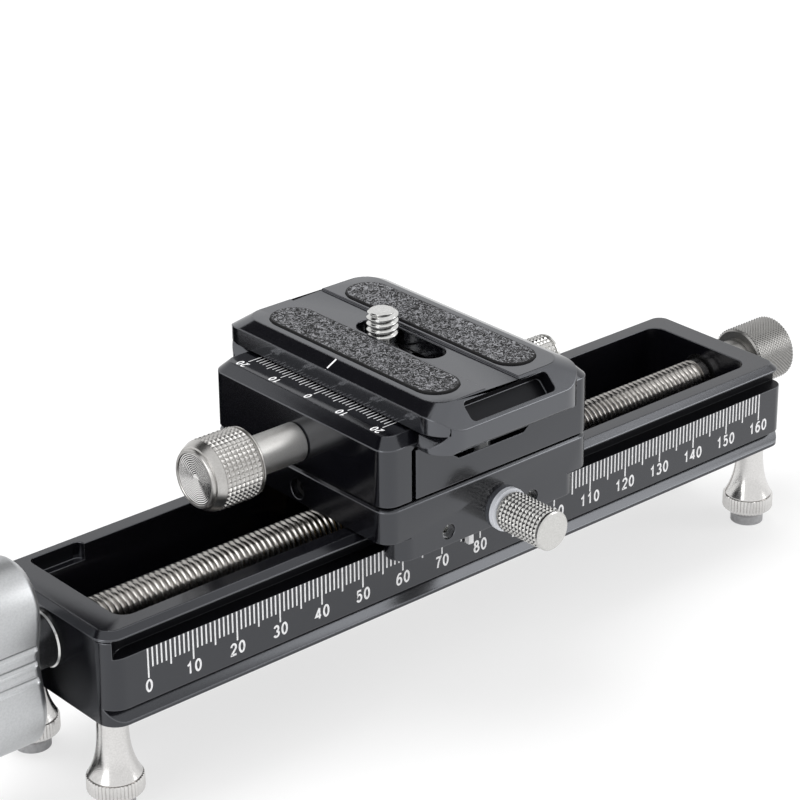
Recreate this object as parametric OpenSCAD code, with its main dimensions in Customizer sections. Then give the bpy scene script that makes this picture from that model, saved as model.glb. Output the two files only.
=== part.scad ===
// Macro focusing rail: a screw-driven carriage on a slotted rail, with a
// panning quick-release clamp and a sliding camera plate.
// X runs along the rail towards the high end of its scale, Y away from the
// scale face, Z up. The origin is the mouth of the tripod socket, in the
// middle of the rail's underside. All sizes are in millimetres.

/* [Rail] */
// Length of the rail body
rail_l = 176.6; // [160:0.1:260]
// Width of the rail body and of its lower dovetail
rail_w = 38; // [36:0.5:44]
// Height of the rail body
rail_h = 18.6; // [17.6:0.1:24]
// Plan radius of the rail's corners at the drive wheel
rail_corner_r = 4; // [2:0.5:5]
// Plan radius of the rail's corners at the end knob
right_corner_r = 3; // [0.7:0.1:4]
// Wall beside the long slot
rail_wall = 5.2; // [5:0.1:6]
// Floor under the long slot
rail_floor = 4.5; // [4:0.1:5]
// Solid end of the rail at the drive wheel
left_end_wall = 6.8; // [6:0.1:9]
// Solid end of the rail at the end knob
right_end_wall = 6.1; // [5.7:0.1:9]
// Corner radius of the long slot
slot_corner_r = 3; // [1:0.5:4]
// Chamfer along the rail's upper edges
rail_chamfer = 1.2; // [0.4:0.1:1.2]
// Thickness of the guide lip above each side groove
lip_t = 1.5; // [1.3:0.1:2]
// How far the guide lip stands back from the scale face
lip_inset = 0.8; // [0.4:0.1:1]
// Height of the side guide groove
guide_h = 3.25; // [2.8:0.05:4]
// Depth of the side guide groove from the scale face
guide_depth = 3.4; // [3:0.1:3.8]
// Depth of the notch above the lower dovetail
dovetail_depth = 2.7; // [2:0.1:3]
// Height of the dovetail's outer edge
dovetail_edge = 0.7; // [0.5:0.1:1.5]
// Length of the step cut into the slot's rear wall
pocket_l = 11.5; // [6:0.5:20]
// Depth of that step into the rear wall
pocket_depth = 1.6; // [0.5:0.1:2]
// Height of that step below the rail's top
pocket_h = 3.4; // [1:0.1:4]
// Corner radius of that step
pocket_corner_r = 1.5; // [0.5:0.1:3]
// Distance of the guide groove's full depth from the rail's left end
groove_start = 6.2; // [5:0.1:10]
// Radius of the cutter's run-out at the groove's left end
groove_cutter_r = 5.4; // [3.6:0.1:6]
// Distance of the scale's zero from the rail's end
scale_zero_inset = 8.6; // [5:0.1:12]

/* [Feet] */
// Height of a foot below the rail
foot_h = 19; // [16:0.1:30]
// Radius of the foot's knurled band
foot_band_r = 5.4; // [4.5:0.1:7]
// Height of the knurled band
foot_band_h = 3.1; // [2:0.1:5]
// Radius of the foot's slim neck
foot_neck_r = 2.9; // [2.6:0.1:4]
// Radius of the foot's soft pad
foot_pad_r = 3.5; // [2.5:0.1:4.4]
// Height of the foot's soft pad
foot_pad_h = 1.9; // [1:0.1:3]
// Distance of a foot's axis from the rail's end
foot_end_inset = 3.9; // [3.2:0.1:4.4]
// Distance of a foot's axis from the rail's side
foot_side_inset = 5.5; // [4.5:0.1:7]
// Radius of the foot's threaded stud
foot_stud_r = 1.5; // [1:0.1:2]
// Length of the foot's threaded stud
foot_stud_l = 6; // [4:0.5:9]

/* [Tripod socket] */
// Thread radius of the tripod socket, for a 3/8 inch screw
socket_r = 4.76; // [3:0.01:5]
// Outer radius of the socket's insert
socket_outer_r = 7.5; // [6:0.1:9]

/* [Lead screw] */
// Radius of the lead screw's thread
screw_r = 4; // [3.5:0.1:4.3]
// Travel of the carriage for one turn of the lead screw
screw_pitch = 1.25; // [0.5:0.05:2]
// Depth of the lead screw's axis below the rail's top
screw_drop = 7.1; // [7:0.1:8.2]
// Radius of the lead screw's journals
journal_r = 3; // [2.4:0.1:3.2]
// Wall of the bearing bush round a journal
bush_wall = 1.6; // [1:0.1:2]
// Rim of the left bush outside the rail
bush_rim_r = 5.6; // [5.2:0.1:6.2]
// Thickness of that rim
bush_rim_t = 1.2; // [0.8:0.1:2]
// Radius of the thrust collar beside the drive wheel
collar_r = 5.2; // [4.6:0.1:6]
// Length of the thrust collar
collar_l = 4.1; // [2:0.1:6]
// Length of plain shaft before the right bush
plain_end_l = 0.3; // [0.1:0.1:10]

/* [Drive wheel] */
// Half height of the two-lobed drive wheel
wheel_half_h = 18.6; // [16:0.1:24]
// Radius of each lobe
wheel_lobe_r = 8.4; // [7.5:0.1:9.5]
// Half width of the wheel's waist
wheel_waist = 6.9; // [6.2:0.1:7.4]
// Thickness of the wheel
wheel_t = 16; // [12:0.5:22]
// Bevel round the wheel's two faces
wheel_bevel = 1.5; // [0.5:0.1:2]
// Radius of a grip flute
flute_r = 0.9; // [0.5:0.05:1.2]
// Depth of a grip flute
flute_depth = 0.3; // [0.1:0.05:0.5]
// Distance between grip flutes
flute_pitch = 3.1; // [2.4:0.1:3.6]
// Radius of the wheel's end cap
wheel_cap_r = 5.2; // [4.4:0.1:5.8]

/* [End knob] */
// Radius of the right end knob
end_knob_r = 7; // [5.5:0.1:7.4]
// Length of the knob's grip
end_knob_l = 11.1; // [8:0.1:16]
// Radius of the knob's hub
end_hub_r = 4.8; // [4.2:0.1:5.2]
// Length of the hub between the rail and the grip
end_hub_l = 6.1; // [4:0.1:8]
// Chamfer on the knob's rims
end_knob_chamfer = 0.9; // [0.3:0.1:1.4]

/* [Carriage] */
// Reading of the index on the rail's scale
index_reading = 76.4; // [70:0.1:82]
// Length of the carriage along the rail
block_l = 53; // [50:0.5:54]
// Thickness of the skirts beside the rail
skirt_t = 6.7; // [6.2:0.1:8]
// Thickness of the carriage above the rail
block_h = 7.1; // [6.6:0.1:9]
// Plan radius of the carriage's and clamp's corners
block_corner_r = 3.2; // [1.5:0.1:4]
// Chamfer round the carriage's top
block_chamfer = 0.5; // [0.2:0.1:0.8]
// Length of the skirts that hang beside the rail
skirt_l = 46; // [42:0.5:49]
// Depth of the skirts below the carriage's underside
skirt_drop = 4.7; // [4.2:0.1:5]
// Gap between the carriage and the rail
run_gap = 0.3; // [0.2:0.05:0.4]
// Length of the drive nut
nut_l = 30; // [20:0.5:30]
// Width of the drive nut
nut_w = 18; // [16:0.5:20]
// Distance of the gib screws from the carriage's middle
gib_screw_x = 10.8; // [9.5:0.1:16]
// Radius of the gib screws
gib_screw_r = 1.5; // [1:0.1:1.7]
// Height of the gib and lock screws' axes below the rail's top
side_screw_drop = 1.6; // [1.4:0.1:2]
// Radius of the set screw that holds the pan post
post_set_r = 2; // [1.2:0.1:2.2]
// Height of that set screw above the carriage's underside
post_set_rise = 2.7; // [2.4:0.1:3.4]
// Width of the index pointer
index_w = 1.2; // [0.8:0.1:2]
// Distance of the index pointer's tip below the rail's top
index_drop = 10.2; // [8:0.1:11]

/* [Lock knobs] */
// Radius of a lock knob's head
lock_r = 4.1; // [3.4:0.1:4.6]
// Length of a lock knob's head
lock_l = 12; // [8:0.1:16]
// Thickness of the washer under a lock knob
lock_washer_t = 1; // [0.6:0.1:1.5]
// Extra radius of the washer beyond the knob
lock_washer_lip = 0.3; // [0:0.1:0.6]
// Radius of a lock knob's threaded stud
lock_stud_r = 2; // [1.5:0.1:2]
// Distance of the carriage lock from the carriage's middle
carriage_lock_x = 3.8; // [0:0.1:4.2]
// Height of the pan lock's axis above the clamp's underside
pan_lock_rise = 3.9; // [3.8:0.05:4]

/* [Clamp] */
// Height of the clamp
clamp_h = 13.6; // [13.2:0.1:16]
// Gap between the carriage and the clamp
pan_gap = 0.6; // [0.4:0.05:1]
// Chamfer along the clamp's upper edges
clamp_chamfer = 2; // [1:0.1:2.4]
// Gap between the clamp body and its moving jaw
jaw_gap = 1; // [0.6:0.1:1.4]
// Thickness of the moving jaw's upright wall
jaw_wall = 6.5; // [6:0.1:6.6]
// How far the jaw opens
jaw_travel = 4; // [2:0.5:5]
// Depth of the plate's seat below the clamp's top
seat_depth = 3.45; // [3.35:0.05:3.5]
// Depth of the channel below the clamp's top
channel_depth = 8.5; // [8.3:0.1:8.7]
// Half width of the channel's floor
channel_half_w = 8.3; // [7.9:0.1:8.8]
// Half width of the channel where its sides turn upright
channel_top_half_w = 11; // [9.5:0.1:11.2]
// Height of the channel's sloping sides
channel_slope_h = 2; // [1:0.1:2.6]
// Radius of the pan post that the clamp turns on
post_r = 6.94; // [6:0.02:7.2]
// Running clearance round the pan post
post_gap = 0.06; // [0.03:0.01:0.1]
// Radius of the nut that holds the clamp on its post
pan_nut_r = 8.2; // [7.6:0.1:8.2]
// Height of the pan nut
pan_nut_h = 4.1; // [3.8:0.05:4.2]
// Outer radius of the friction ring under the clamp
pan_ring_r = 22; // [14:0.5:24]
// Distance of the guide pins from the clamp's middle
guide_pin_y = 17; // [13:0.5:20]
// Radius of the guide pins
guide_pin_r = 1.5; // [1:0.1:1.8]
// Distance of the channel's screws from the clamp's ends
channel_screw_inset = 3.5; // [3:0.1:6]
// Head radius of the channel's screws
channel_screw_r = 2.3; // [1.8:0.1:2.6]
// Head height of the channel's screws
channel_screw_h = 1.8; // [1:0.1:3]

/* [Jaw knob] */
// Radius of the jaw knob's knurled head
jaw_knob_r = 7.1; // [6:0.1:7.4]
// Length of the knurled head
jaw_knob_l = 11.9; // [10:0.1:15]
// Radius of the knob's smooth neck
jaw_neck_r = 3.9; // [3.6:0.1:4.4]
// Length of the neck
jaw_neck_l = 12.3; // [11:0.1:16]
// Radius of the polished disc in the knob's face
jaw_disc_r = 5; // [4:0.1:5.4]
// Radius of the jaw screw
jaw_screw_r = 3; // [2:0.1:3.2]
// Length of the jaw screw in the clamp body
jaw_screw_l = 7.3; // [6.4:0.1:7.3]
// Height of the knob's axis above the clamp's underside
jaw_knob_rise = 5.1; // [5:0.1:5.4]

/* [Plate] */
// Length of the camera plate
plate_l = 66.2; // [60:0.2:90]
// Width of the camera plate and of its dovetail
plate_w = 38; // [37.4:0.1:38.6]
// Depth of the dovetail's neck
plate_neck = 2.9; // [2.8:0.05:3]
// Height of the dovetail's outer edge
plate_edge = 0.9; // [0.8:0.05:1]
// Height of the plate's upright side above the neck
plate_side_h = 3.7; // [3:0.1:5]
// Height of the slope round the plate's top
plate_slope_h = 1.4; // [0.8:0.1:2]
// Width of the slope along the plate's sides
plate_slope_w = 2.9; // [1.5:0.1:3]
// Length of the slope at the plate's ends
plate_end_slope = 4.3; // [3:0.1:6]
// Height of the slope at the plate's ends
plate_end_slope_h = 4.2; // [3:0.1:4.6]
// Plan radius of the plate's corners
plate_corner_r = 6.4; // [4:0.1:6.6]
// Plan radius of the corners of its flat top
plate_top_r = 4.4; // [2:0.1:5]
// Width of the recessed strip along the plate's middle
strip_w = 8.2; // [7.6:0.1:9]
// Depth of the recessed strip
strip_depth = 0.5; // [0.3:0.1:0.8]
// Half length of the camera slot between its end arcs
slot_half_l = 8.3; // [6:0.1:12]
// Radius of the camera slot's ends
slot_r = 3.25; // [3.2:0.05:3.6]
// Radius of the screw head's recess under the plate
under_slot_r = 7.3; // [7:0.1:8]
// Depth of that recess
under_slot_depth = 4.7; // [4.6:0.1:5]
// Width of the window in each end slope
window_w = 21.2; // [12:0.2:24]
// Depth of the window into the end slope
window_depth = 3; // [1:0.1:4]
// Half length of a rubber pad
pad_half_l = 25.5; // [20:0.5:27]
// Half width of a rubber pad
pad_half_w = 4.65; // [3:0.05:4.9]
// Distance of a rubber pad from the plate's middle
pad_x = 9.7; // [9:0.1:10.4]
// How far a rubber pad stands above the plate
pad_proud = 0.35; // [0.2:0.05:0.6]
// Depth of a rubber pad's seat
pad_seat = 0.6; // [0.4:0.1:1]

/* [Camera screw] */
// Thread radius of the camera screw, for a 1/4 inch thread
camera_screw_r = 3.15; // [3:0.01:3.175]
// Height of the camera screw above the plate
camera_screw_h = 3.8; // [3:0.1:6]
// Place of the camera screw along its slot
camera_screw_y = 5.4; // [-6:0.1:6]
// Radius of the camera screw's head
camera_head_r = 6.8; // [5:0.1:6.9]

/* [Hidden] */
$fn = 64;
hull_fn = 32;
cut = 1;
fit = 0.02;
seat_gap = 0.05;
half_turn = 180;
quarter_turn = 90;

// Places along the rail
half_l = rail_l / 2;
half_w = rail_w / 2;
scale_zero_x = -half_l + scale_zero_inset;
car_x = scale_zero_x + index_reading;
slot_x0 = -half_l + left_end_wall;
slot_x1 = half_l - right_end_wall;
slot_half_w = half_w - rail_wall;
screw_z = rail_h - screw_drop;
groove_z1 = rail_h - lip_t;
groove_z0 = groove_z1 - guide_h;
groove_y = half_w - guide_depth;
lip_y = half_w - lip_inset;
notch_z = dovetail_edge + dovetail_depth;
foot_x = half_l - foot_end_inset;
foot_y = half_w - foot_side_inset;

// Heights of the stack above the rail
block_z0 = rail_h + run_gap;
block_z1 = block_z0 + block_h;
clamp_z0 = block_z1 + pan_gap;
clamp_z1 = clamp_z0 + clamp_h;
seat_z = clamp_z1 - seat_depth;
channel_z = clamp_z1 - channel_depth;
plate_z0 = seat_z + seat_gap;
neck_z = plate_z0 + plate_edge + plate_neck;
slope_z = neck_z + plate_side_h;
plate_z1 = slope_z + plate_slope_h;
end_slope_z = plate_z1 - plate_end_slope_h;
block_w = rail_w + 2 * (run_gap + skirt_t);
block_half_l = block_l / 2;
block_half_w = block_w / 2;
plate_half_w = plate_w / 2;
plate_half_l = plate_l / 2;

// Lead screw line
bush_r = journal_r + bush_wall;
journal_gap = 0.04;
wheel_x1 = -half_l - bush_rim_t - seat_gap - collar_l;
wheel_x0 = wheel_x1 - wheel_t;
hub_x0 = half_l + seat_gap + bush_rim_t;
knob_x0 = half_l + end_hub_l + seat_gap;
knob_x1 = knob_x0 + end_knob_l;
grub_r = 1.5;
grub_l = 3.4;

// Clamp section
lip_gap = 0.1;
lip_x = plate_half_w - plate_neck + (neck_z - clamp_z1) + lip_gap;
jaw_inner_x = block_half_l - jaw_wall;
body_left_x = jaw_inner_x - jaw_gap;
seat_x = plate_half_w + lip_gap;
jaw_knob_z = clamp_z0 + jaw_knob_rise;
pan_lock_z = clamp_z0 + pan_lock_rise;
side_screw_z = rail_h - side_screw_drop;
shoe_r = 0.9;
carriage_shoe_r = 1.8;
shoe_gap = 0.1;

// Points of the two-lobed wheel's outline
lobe_y = wheel_half_h - wheel_lobe_r;
lobe_steps = 20;
waist_steps = 10;
function waist_w(t) = wheel_waist + (wheel_lobe_r - wheel_waist) * (1 - cos(half_turn * t / lobe_y)) / 2;
function lobe_arc(s) = [for (i = [0:lobe_steps]) let (a = i * half_turn / lobe_steps)
  [s * wheel_lobe_r * cos(a), s * (lobe_y + wheel_lobe_r * sin(a))]];
function waist_side(s) = [for (i = [1:2 * waist_steps - 1]) let (t = lobe_y * (1 - i / waist_steps))
  [-s * waist_w(t), s * t]];

// Basic shapes
module along_x() { rotate([quarter_turn, 0, quarter_turn]) children(); }
module rod_x(r, x0, x1) { translate([x0, 0, 0]) rotate([0, quarter_turn, 0]) cylinder(r = r, h = x1 - x0); }
module rod_y(r, y0, y1) { translate([0, y1, 0]) rotate([quarter_turn, 0, 0]) cylinder(r = r, h = y1 - y0); }

// Rectangle with round corners, centred on the origin
module round_rect(l, w, r) {
  square([l - 2 * r, w], center = true);
  square([l, w - 2 * r], center = true);
  for (x = [-1, 1], y = [-1, 1]) translate([x * (l / 2 - r), y * (w / 2 - r)]) circle(r = r);
}

// Block with round upright corners and a chamfered top
module chamfer_block(l, w, h, r, c) {
  hull() {
    linear_extrude(h - c) round_rect(l, w, r, $fn = hull_fn);
    linear_extrude(h) round_rect(l - 2 * c, w - 2 * c, r - c / 2, $fn = hull_fn);
  }
}

// Slot with round ends, along Y
module long_slot(r, half, h) {
  linear_extrude(h) {
    square([2 * r, 2 * half], center = true);
    for (y = [-1, 1]) translate([0, y * half]) circle(r = r);
  }
}

// Right half of the rail's section with its lower dovetail, from the bottom up, as [y, z]
function rail_side(s) = [[s * half_w, 0], [s * half_w, dovetail_edge],
  [s * (half_w - dovetail_depth), notch_z], [s * half_w, notch_z], [s * half_w, rail_h]];
function reversed(list) = [for (i = [len(list) - 1:-1:0]) list[i]];

// Four places for the feet
function foot_place(sx, sy) = [sx * foot_x, sy * foot_y, 0];

// One end of the rail from x0 on: body below the guide lips, and the chamfered lips,
// with round upright corners
module rail_end(x0, r) {
  intersection() {
    union() {
      linear_extrude(groove_z1) round_rect(rail_l, rail_w, r);
      chamfer_block(rail_l, 2 * lip_y, rail_h, r, rail_chamfer);
    }
    translate([x0, -half_w - cut, -cut]) cube([half_l + 2 * cut, rail_w + 2 * cut, rail_h + 2 * cut]);
  }
}

module rail_blank() {
  rail_end(-half_l - cut, rail_corner_r);
  rail_end(-cut, right_corner_r);
}

module rail_frame() {
  color("#26262a") difference() {
    intersection() {
      translate([-half_l, 0, 0]) along_x()
        linear_extrude(rail_l) polygon(concat(rail_side(1), reversed(rail_side(-1))));
      rail_blank();
    }
    for (y = [-half_w - cut, groove_y]) translate([groove_start - half_l, y, groove_z0])
      cube([rail_l, guide_depth + cut, guide_h]);
    for (s = [-1, 1]) translate([groove_start - half_l, s * (groove_y + groove_cutter_r), groove_z0])
      cylinder(r = groove_cutter_r, h = guide_h);
    translate([(slot_x0 + slot_x1) / 2, 0, rail_floor])
      linear_extrude(rail_h) round_rect(slot_x1 - slot_x0, 2 * slot_half_w, slot_corner_r);
    translate([slot_x0 + pocket_l / 2, (slot_half_w + pocket_depth) / 2, rail_h - pocket_h])
      linear_extrude(rail_h) round_rect(pocket_l, slot_half_w + pocket_depth, pocket_corner_r);
    translate([0, 0, screw_z]) {
      rod_x(bush_r + fit, -half_l - cut, slot_x0 + cut);
      rod_x(bush_r + fit, slot_x1 - cut, half_l + cut);
    }
    translate([0, 0, -cut]) cylinder(r = socket_outer_r + fit, h = rail_floor + 2 * cut);
    for (sx = [-1, 1], sy = [-1, 1]) translate(foot_place(sx, sy)) translate([0, 0, -cut])
      cylinder(r = foot_stud_r + fit, h = foot_stud_l + 2 * cut);
  }
}

module tripod_insert() {
  color("#b9b9b6") difference() {
    cylinder(r = socket_outer_r, h = rail_floor);
    translate([0, 0, -cut]) cylinder(r = socket_r, h = rail_floor + 2 * cut);
  }
}

module bush(length, rim) {
  difference() {
    union() {
      rod_x(bush_r, 0, length);
      rod_x(bush_rim_r, length, length + rim);
    }
    rod_x(journal_r + journal_gap, -cut, length + rim + cut);
  }
}

module left_bush() {
  color("#c9c9c6") translate([slot_x0, 0, screw_z]) mirror([1, 0, 0]) bush(left_end_wall, bush_rim_t);
}

module right_bush() {
  color("#c9c9c6") translate([slot_x1, 0, screw_z]) bush(right_end_wall, bush_rim_t);
}

// Foot: slim neck that flares to a knurled band, with its stud
band_bevel = 0.3;
band_taper = 1.5;
flare_steps = 8;
flare_power = 3;
band_z0 = -foot_h + foot_pad_h + band_taper;
band_z1 = band_z0 + foot_band_h;
function flare_r(t) = foot_neck_r + (foot_band_r - band_bevel - foot_neck_r) * pow(t, flare_power);
function flare_points() = [for (i = [0:flare_steps]) let (t = i / flare_steps) [flare_r(t), t * band_z1]];

module foot() {
  rotate_extrude() polygon(concat([[0, foot_stud_l], [foot_stud_r, foot_stud_l], [foot_stud_r, 0]],
    flare_points(), [[foot_band_r, band_z1 - band_bevel], [foot_band_r, band_z0],
    [foot_pad_r, -foot_h + foot_pad_h], [0, -foot_h + foot_pad_h]]));
}

module foot_front_left() { color("#d2d2cf") translate(foot_place(-1, -1)) foot(); }
module foot_front_right() { color("#d2d2cf") translate(foot_place(1, -1)) foot(); }
module foot_back_left() { color("#d2d2cf") translate(foot_place(-1, 1)) foot(); }
module foot_back_right() { color("#d2d2cf") translate(foot_place(1, 1)) foot(); }

module foot_pads() {
  color("#2b2b2d") for (sx = [-1, 1], sy = [-1, 1]) translate(foot_place(sx, sy))
    translate([0, 0, -foot_h]) cylinder(r = foot_pad_r, h = foot_pad_h);
}

// Lead screw with a journal at each end, a wheel seat and a knob seat
module lead_screw() {
  color("#cfcbc4") translate([0, 0, screw_z]) {
    rod_x(journal_r, wheel_x0 + wheel_bevel + grub_l, slot_x0 + seat_gap);
    rod_x(screw_r, slot_x0 + seat_gap, slot_x1 - plain_end_l);
    rod_x(journal_r, slot_x1 - plain_end_l, knob_x1 - end_knob_chamfer - grub_l);
  }
}

module thrust_collar() {
  color("#1d1d1f") translate([0, 0, screw_z]) difference() {
    rod_x(collar_r, wheel_x1, -half_l - bush_rim_t - seat_gap);
    rod_x(journal_r + fit, wheel_x1 - cut, -half_l);
  }
}

module wheel_outline() {
  polygon(concat(lobe_arc(1), waist_side(1), lobe_arc(-1), waist_side(-1)));
}

bevel_scale = [1 - wheel_bevel / wheel_lobe_r, 1 - wheel_bevel / wheel_half_h];

module drive_wheel() {
  color("#c3c5c6") translate([0, 0, screw_z]) difference() {
    translate([wheel_x0 + wheel_bevel, 0, 0]) along_x() {
      linear_extrude(wheel_t - 2 * wheel_bevel) wheel_outline();
      translate([0, 0, wheel_t - 2 * wheel_bevel]) linear_extrude(wheel_bevel, scale = bevel_scale, slices = 1) wheel_outline();
      mirror([0, 0, 1]) linear_extrude(wheel_bevel, scale = bevel_scale, slices = 1) wheel_outline();
    }
    rod_x(journal_r + fit, wheel_x0 + wheel_bevel + grub_l - fit, wheel_x1 + cut);
    rod_x(wheel_cap_r + fit, wheel_x0 - cut, wheel_x0 + wheel_bevel);
    for (s = [-1, 1], i = [-1, 0, 1]) translate([0, s * (waist_w(i * flute_pitch) + flute_r - flute_depth), i * flute_pitch])
      rod_x(flute_r, wheel_x0 - cut, wheel_x1 - wheel_bevel);
    translate([wheel_x1 - wheel_t / 2, 0, 0]) rod_y(grub_r + fit, journal_r - cut, wheel_lobe_r + cut);
  }
}

module wheel_cap() {
  color("#d8d8d6") translate([0, 0, screw_z]) difference() {
    rod_x(wheel_cap_r, wheel_x0 + wheel_bevel / 3, wheel_x0 + wheel_bevel);
    rod_x(wheel_cap_r / 4, wheel_x0, wheel_x0 + wheel_bevel - wheel_bevel / 3);
  }
}

// Set screw with a hexagon socket, its tip at the origin, pointing up
socket_depth = 1.2;

module grub_screw(r, l) {
  difference() {
    cylinder(r = r, h = l);
    translate([0, 0, l - r * socket_depth]) cylinder(r = r / 2, h = l, $fn = 6);
  }
}

module wheel_grub_screw() {
  color("#3a3a3d") translate([wheel_x1 - wheel_t / 2, journal_r + fit, screw_z])
    rotate([-quarter_turn, 0, 0]) grub_screw(grub_r, grub_l);
}

module end_knob() {
  color("#bfbdb8") translate([0, 0, screw_z]) difference() {
    along_x() rotate_extrude() polygon([[0, hub_x0 + seat_gap], [end_hub_r, hub_x0 + seat_gap], [end_hub_r, knob_x0],
      [end_knob_r - end_knob_chamfer, knob_x0], [end_knob_r, knob_x0 + end_knob_chamfer],
      [end_knob_r, knob_x1 - end_knob_chamfer], [end_knob_r - end_knob_chamfer, knob_x1], [0, knob_x1]]);
    rod_x(journal_r + fit, half_l, knob_x1 - end_knob_chamfer - grub_l + fit);
    translate([(knob_x0 + knob_x1) / 2, 0, -end_knob_r - cut]) cylinder(r = grub_r + fit, h = end_knob_r);
  }
}

module end_knob_grub_screw() {
  color("#3a3a3d") translate([(knob_x0 + knob_x1) / 2, 0, screw_z - journal_r - fit])
    rotate([half_turn, 0, 0]) grub_screw(grub_r, end_knob_r - journal_r - end_knob_chamfer);
}

// Carriage block with a skirt down each side of the rail
gib_t = guide_depth + run_gap - shoe_gap;
gib_z0 = block_z0 - skirt_drop;
gib_z1 = groove_z1 - run_gap * 2 / 3;
skirt_corner_r = (skirt_t - run_gap) / 2;
gib_l = skirt_l - 2 * skirt_corner_r;
index_t = 1.1;
index_tongue = 2;
nut_screw_x = 11;
nut_screw_y = 6;
nut_screw_r = 1.5;
nut_head_r = 2.8;
nut_head_h = 1.7;
nut_z0 = screw_z - screw_r - skirt_drop / 3;

module block_shell() {
  translate([0, 0, block_z0]) chamfer_block(block_l, block_w, block_h, block_corner_r, block_chamfer);
  for (s = [-1, 1]) translate([0, s * (block_half_w - skirt_t / 2), block_z0 - skirt_drop])
    linear_extrude(skirt_drop + block_chamfer) round_rect(skirt_l, skirt_t, skirt_corner_r);
}

module carriage_block() {
  color("#2a2a2e") translate([car_x, 0, 0]) difference() {
    block_shell();
    translate([0, 0, block_z0 - cut]) cylinder(r = post_r + fit, h = block_h + 2 * cut);
    for (x = [-1, 1], y = [-1, 1]) translate([x * nut_screw_x, y * nut_screw_y, 0]) {
      translate([0, 0, block_z0 - cut]) cylinder(r = nut_screw_r + fit, h = block_h + 2 * cut);
      translate([0, 0, block_z1 - nut_head_h - seat_gap]) cylinder(r = nut_head_r + seat_gap, h = nut_head_h + cut);
    }
    for (x = [-1, 1]) translate([x * gib_screw_x, 0, side_screw_z]) {
      rod_y(gib_screw_r + fit, -block_half_w - cut, -half_w);
      rod_y(gib_screw_r + fit, half_w, block_half_w + cut);
    }
    translate([carriage_lock_x, 0, side_screw_z]) rod_y(lock_stud_r + fit, -block_half_w - cut, -half_w);
    translate([0, 0, block_z0 + post_set_rise]) rod_x(post_set_r + fit, -block_half_l - cut, 0);
    translate([-index_w / 2 - fit, -half_w - run_gap - index_t - fit, gib_z0 - cut])
      cube([index_w + 2 * fit, index_t + cut, index_tongue + cut]);
  }
}

module drive_nut() {
  color("#9c8a52") translate([car_x, 0, 0]) difference() {
    translate([-nut_l / 2, -nut_w / 2, nut_z0]) cube([nut_l, nut_w, block_z0 - nut_z0]);
    translate([0, 0, screw_z]) rod_x(screw_r + seat_gap, -nut_l, nut_l);
    for (x = [-1, 1], y = [-1, 1]) translate([x * nut_screw_x, y * nut_screw_y, screw_z])
      cylinder(r = nut_screw_r + fit, h = block_z0);
  }
}

module nut_screws() {
  color("#3a3a3d") for (x = [-1, 1], y = [-1, 1]) translate([car_x + x * nut_screw_x, y * nut_screw_y, 0])
    difference() {
      union() {
        translate([0, 0, screw_z + seat_gap]) cylinder(r = nut_screw_r, h = block_z1 - nut_head_h - screw_z);
        translate([0, 0, block_z1 - nut_head_h - seat_gap]) cylinder(r = nut_head_r, h = nut_head_h);
      }
      translate([0, 0, block_z1 - nut_head_h]) cylinder(r = nut_screw_r, h = nut_head_h, $fn = 6);
    }
}

module gib(s) {
  translate([-gib_l / 2, s > 0 ? half_w + run_gap - gib_t : -half_w - run_gap, gib_z0])
    cube([gib_l, gib_t, gib_z1 - gib_z0]);
}

module front_gib() {
  color("#8d8a84") translate([car_x, 0, 0]) difference() {
    gib(-1);
    translate([carriage_lock_x, 0, side_screw_z]) rod_y(carriage_shoe_r + fit * 2, -half_w - cut, -groove_y + cut);
    translate([-index_w / 2 - fit, -half_w - run_gap - cut, gib_z0 - cut])
      cube([index_w + 2 * fit, run_gap + cut, index_tongue + cut]);
  }
}

module back_gib() {
  color("#8d8a84") translate([car_x, 0, 0]) gib(1);
}

module gib_screws() {
  color("#8f8f8c") for (x = [-1, 1], s = [-1, 1])
    translate([car_x + x * gib_screw_x, s * (half_w + run_gap + fit), side_screw_z])
      rotate([-s * quarter_turn, 0, 0]) grub_screw(gib_screw_r, skirt_t + run_gap - gib_screw_r);
}

module index_pointer() {
  color("#f0f0ee") translate([car_x, 0, 0])
    translate([-index_w / 2, -half_w - run_gap - index_t, rail_h - index_drop]) {
      cube([index_w, index_t + run_gap / 2, gib_z0 - rail_h + index_drop - fit]);
      cube([index_w, index_t, gib_z0 - rail_h + index_drop + index_tongue - fit]);
    }
}

// Post that the clamp turns on, fixed in the carriage block
post_bore_r = 2;
pan_head_r = 3.6;
pan_head_h = 2;

module pan_post() {
  color("#8b8b88") translate([car_x, 0, 0]) difference() {
    translate([0, 0, block_z0 + fit]) cylinder(r = post_r, h = channel_z + seat_gap - block_z0 - fit);
    translate([0, 0, block_z1]) cylinder(r = post_bore_r + fit, h = clamp_h);
  }
}

// Set screw that holds the post, from the carriage's left face
module post_set_screw() {
  color("#8f8f8c") translate([car_x - post_r - fit, 0, block_z0 + post_set_rise]) rotate([0, -quarter_turn, 0])
    grub_screw(post_set_r, block_half_l - post_r - gib_screw_r);
}

module pan_ring() {
  color("#e8e6df") translate([car_x, 0, block_z1]) difference() {
    cylinder(r = pan_ring_r, h = pan_gap - seat_gap);
    translate([0, 0, -cut]) cylinder(r = post_r + run_gap, h = pan_gap + 2 * cut);
  }
}

module pan_nut() {
  color("#a5a5a2") translate([car_x, 0, channel_z + seat_gap]) difference() {
    cylinder(r = pan_nut_r, h = pan_nut_h);
    translate([0, 0, -cut]) cylinder(r = post_bore_r + fit, h = pan_nut_h + 2 * cut);
    translate([0, 0, pan_nut_h - pan_head_h - fit]) cylinder(r = pan_head_r + fit, h = pan_head_h + cut);
  }
}

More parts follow.
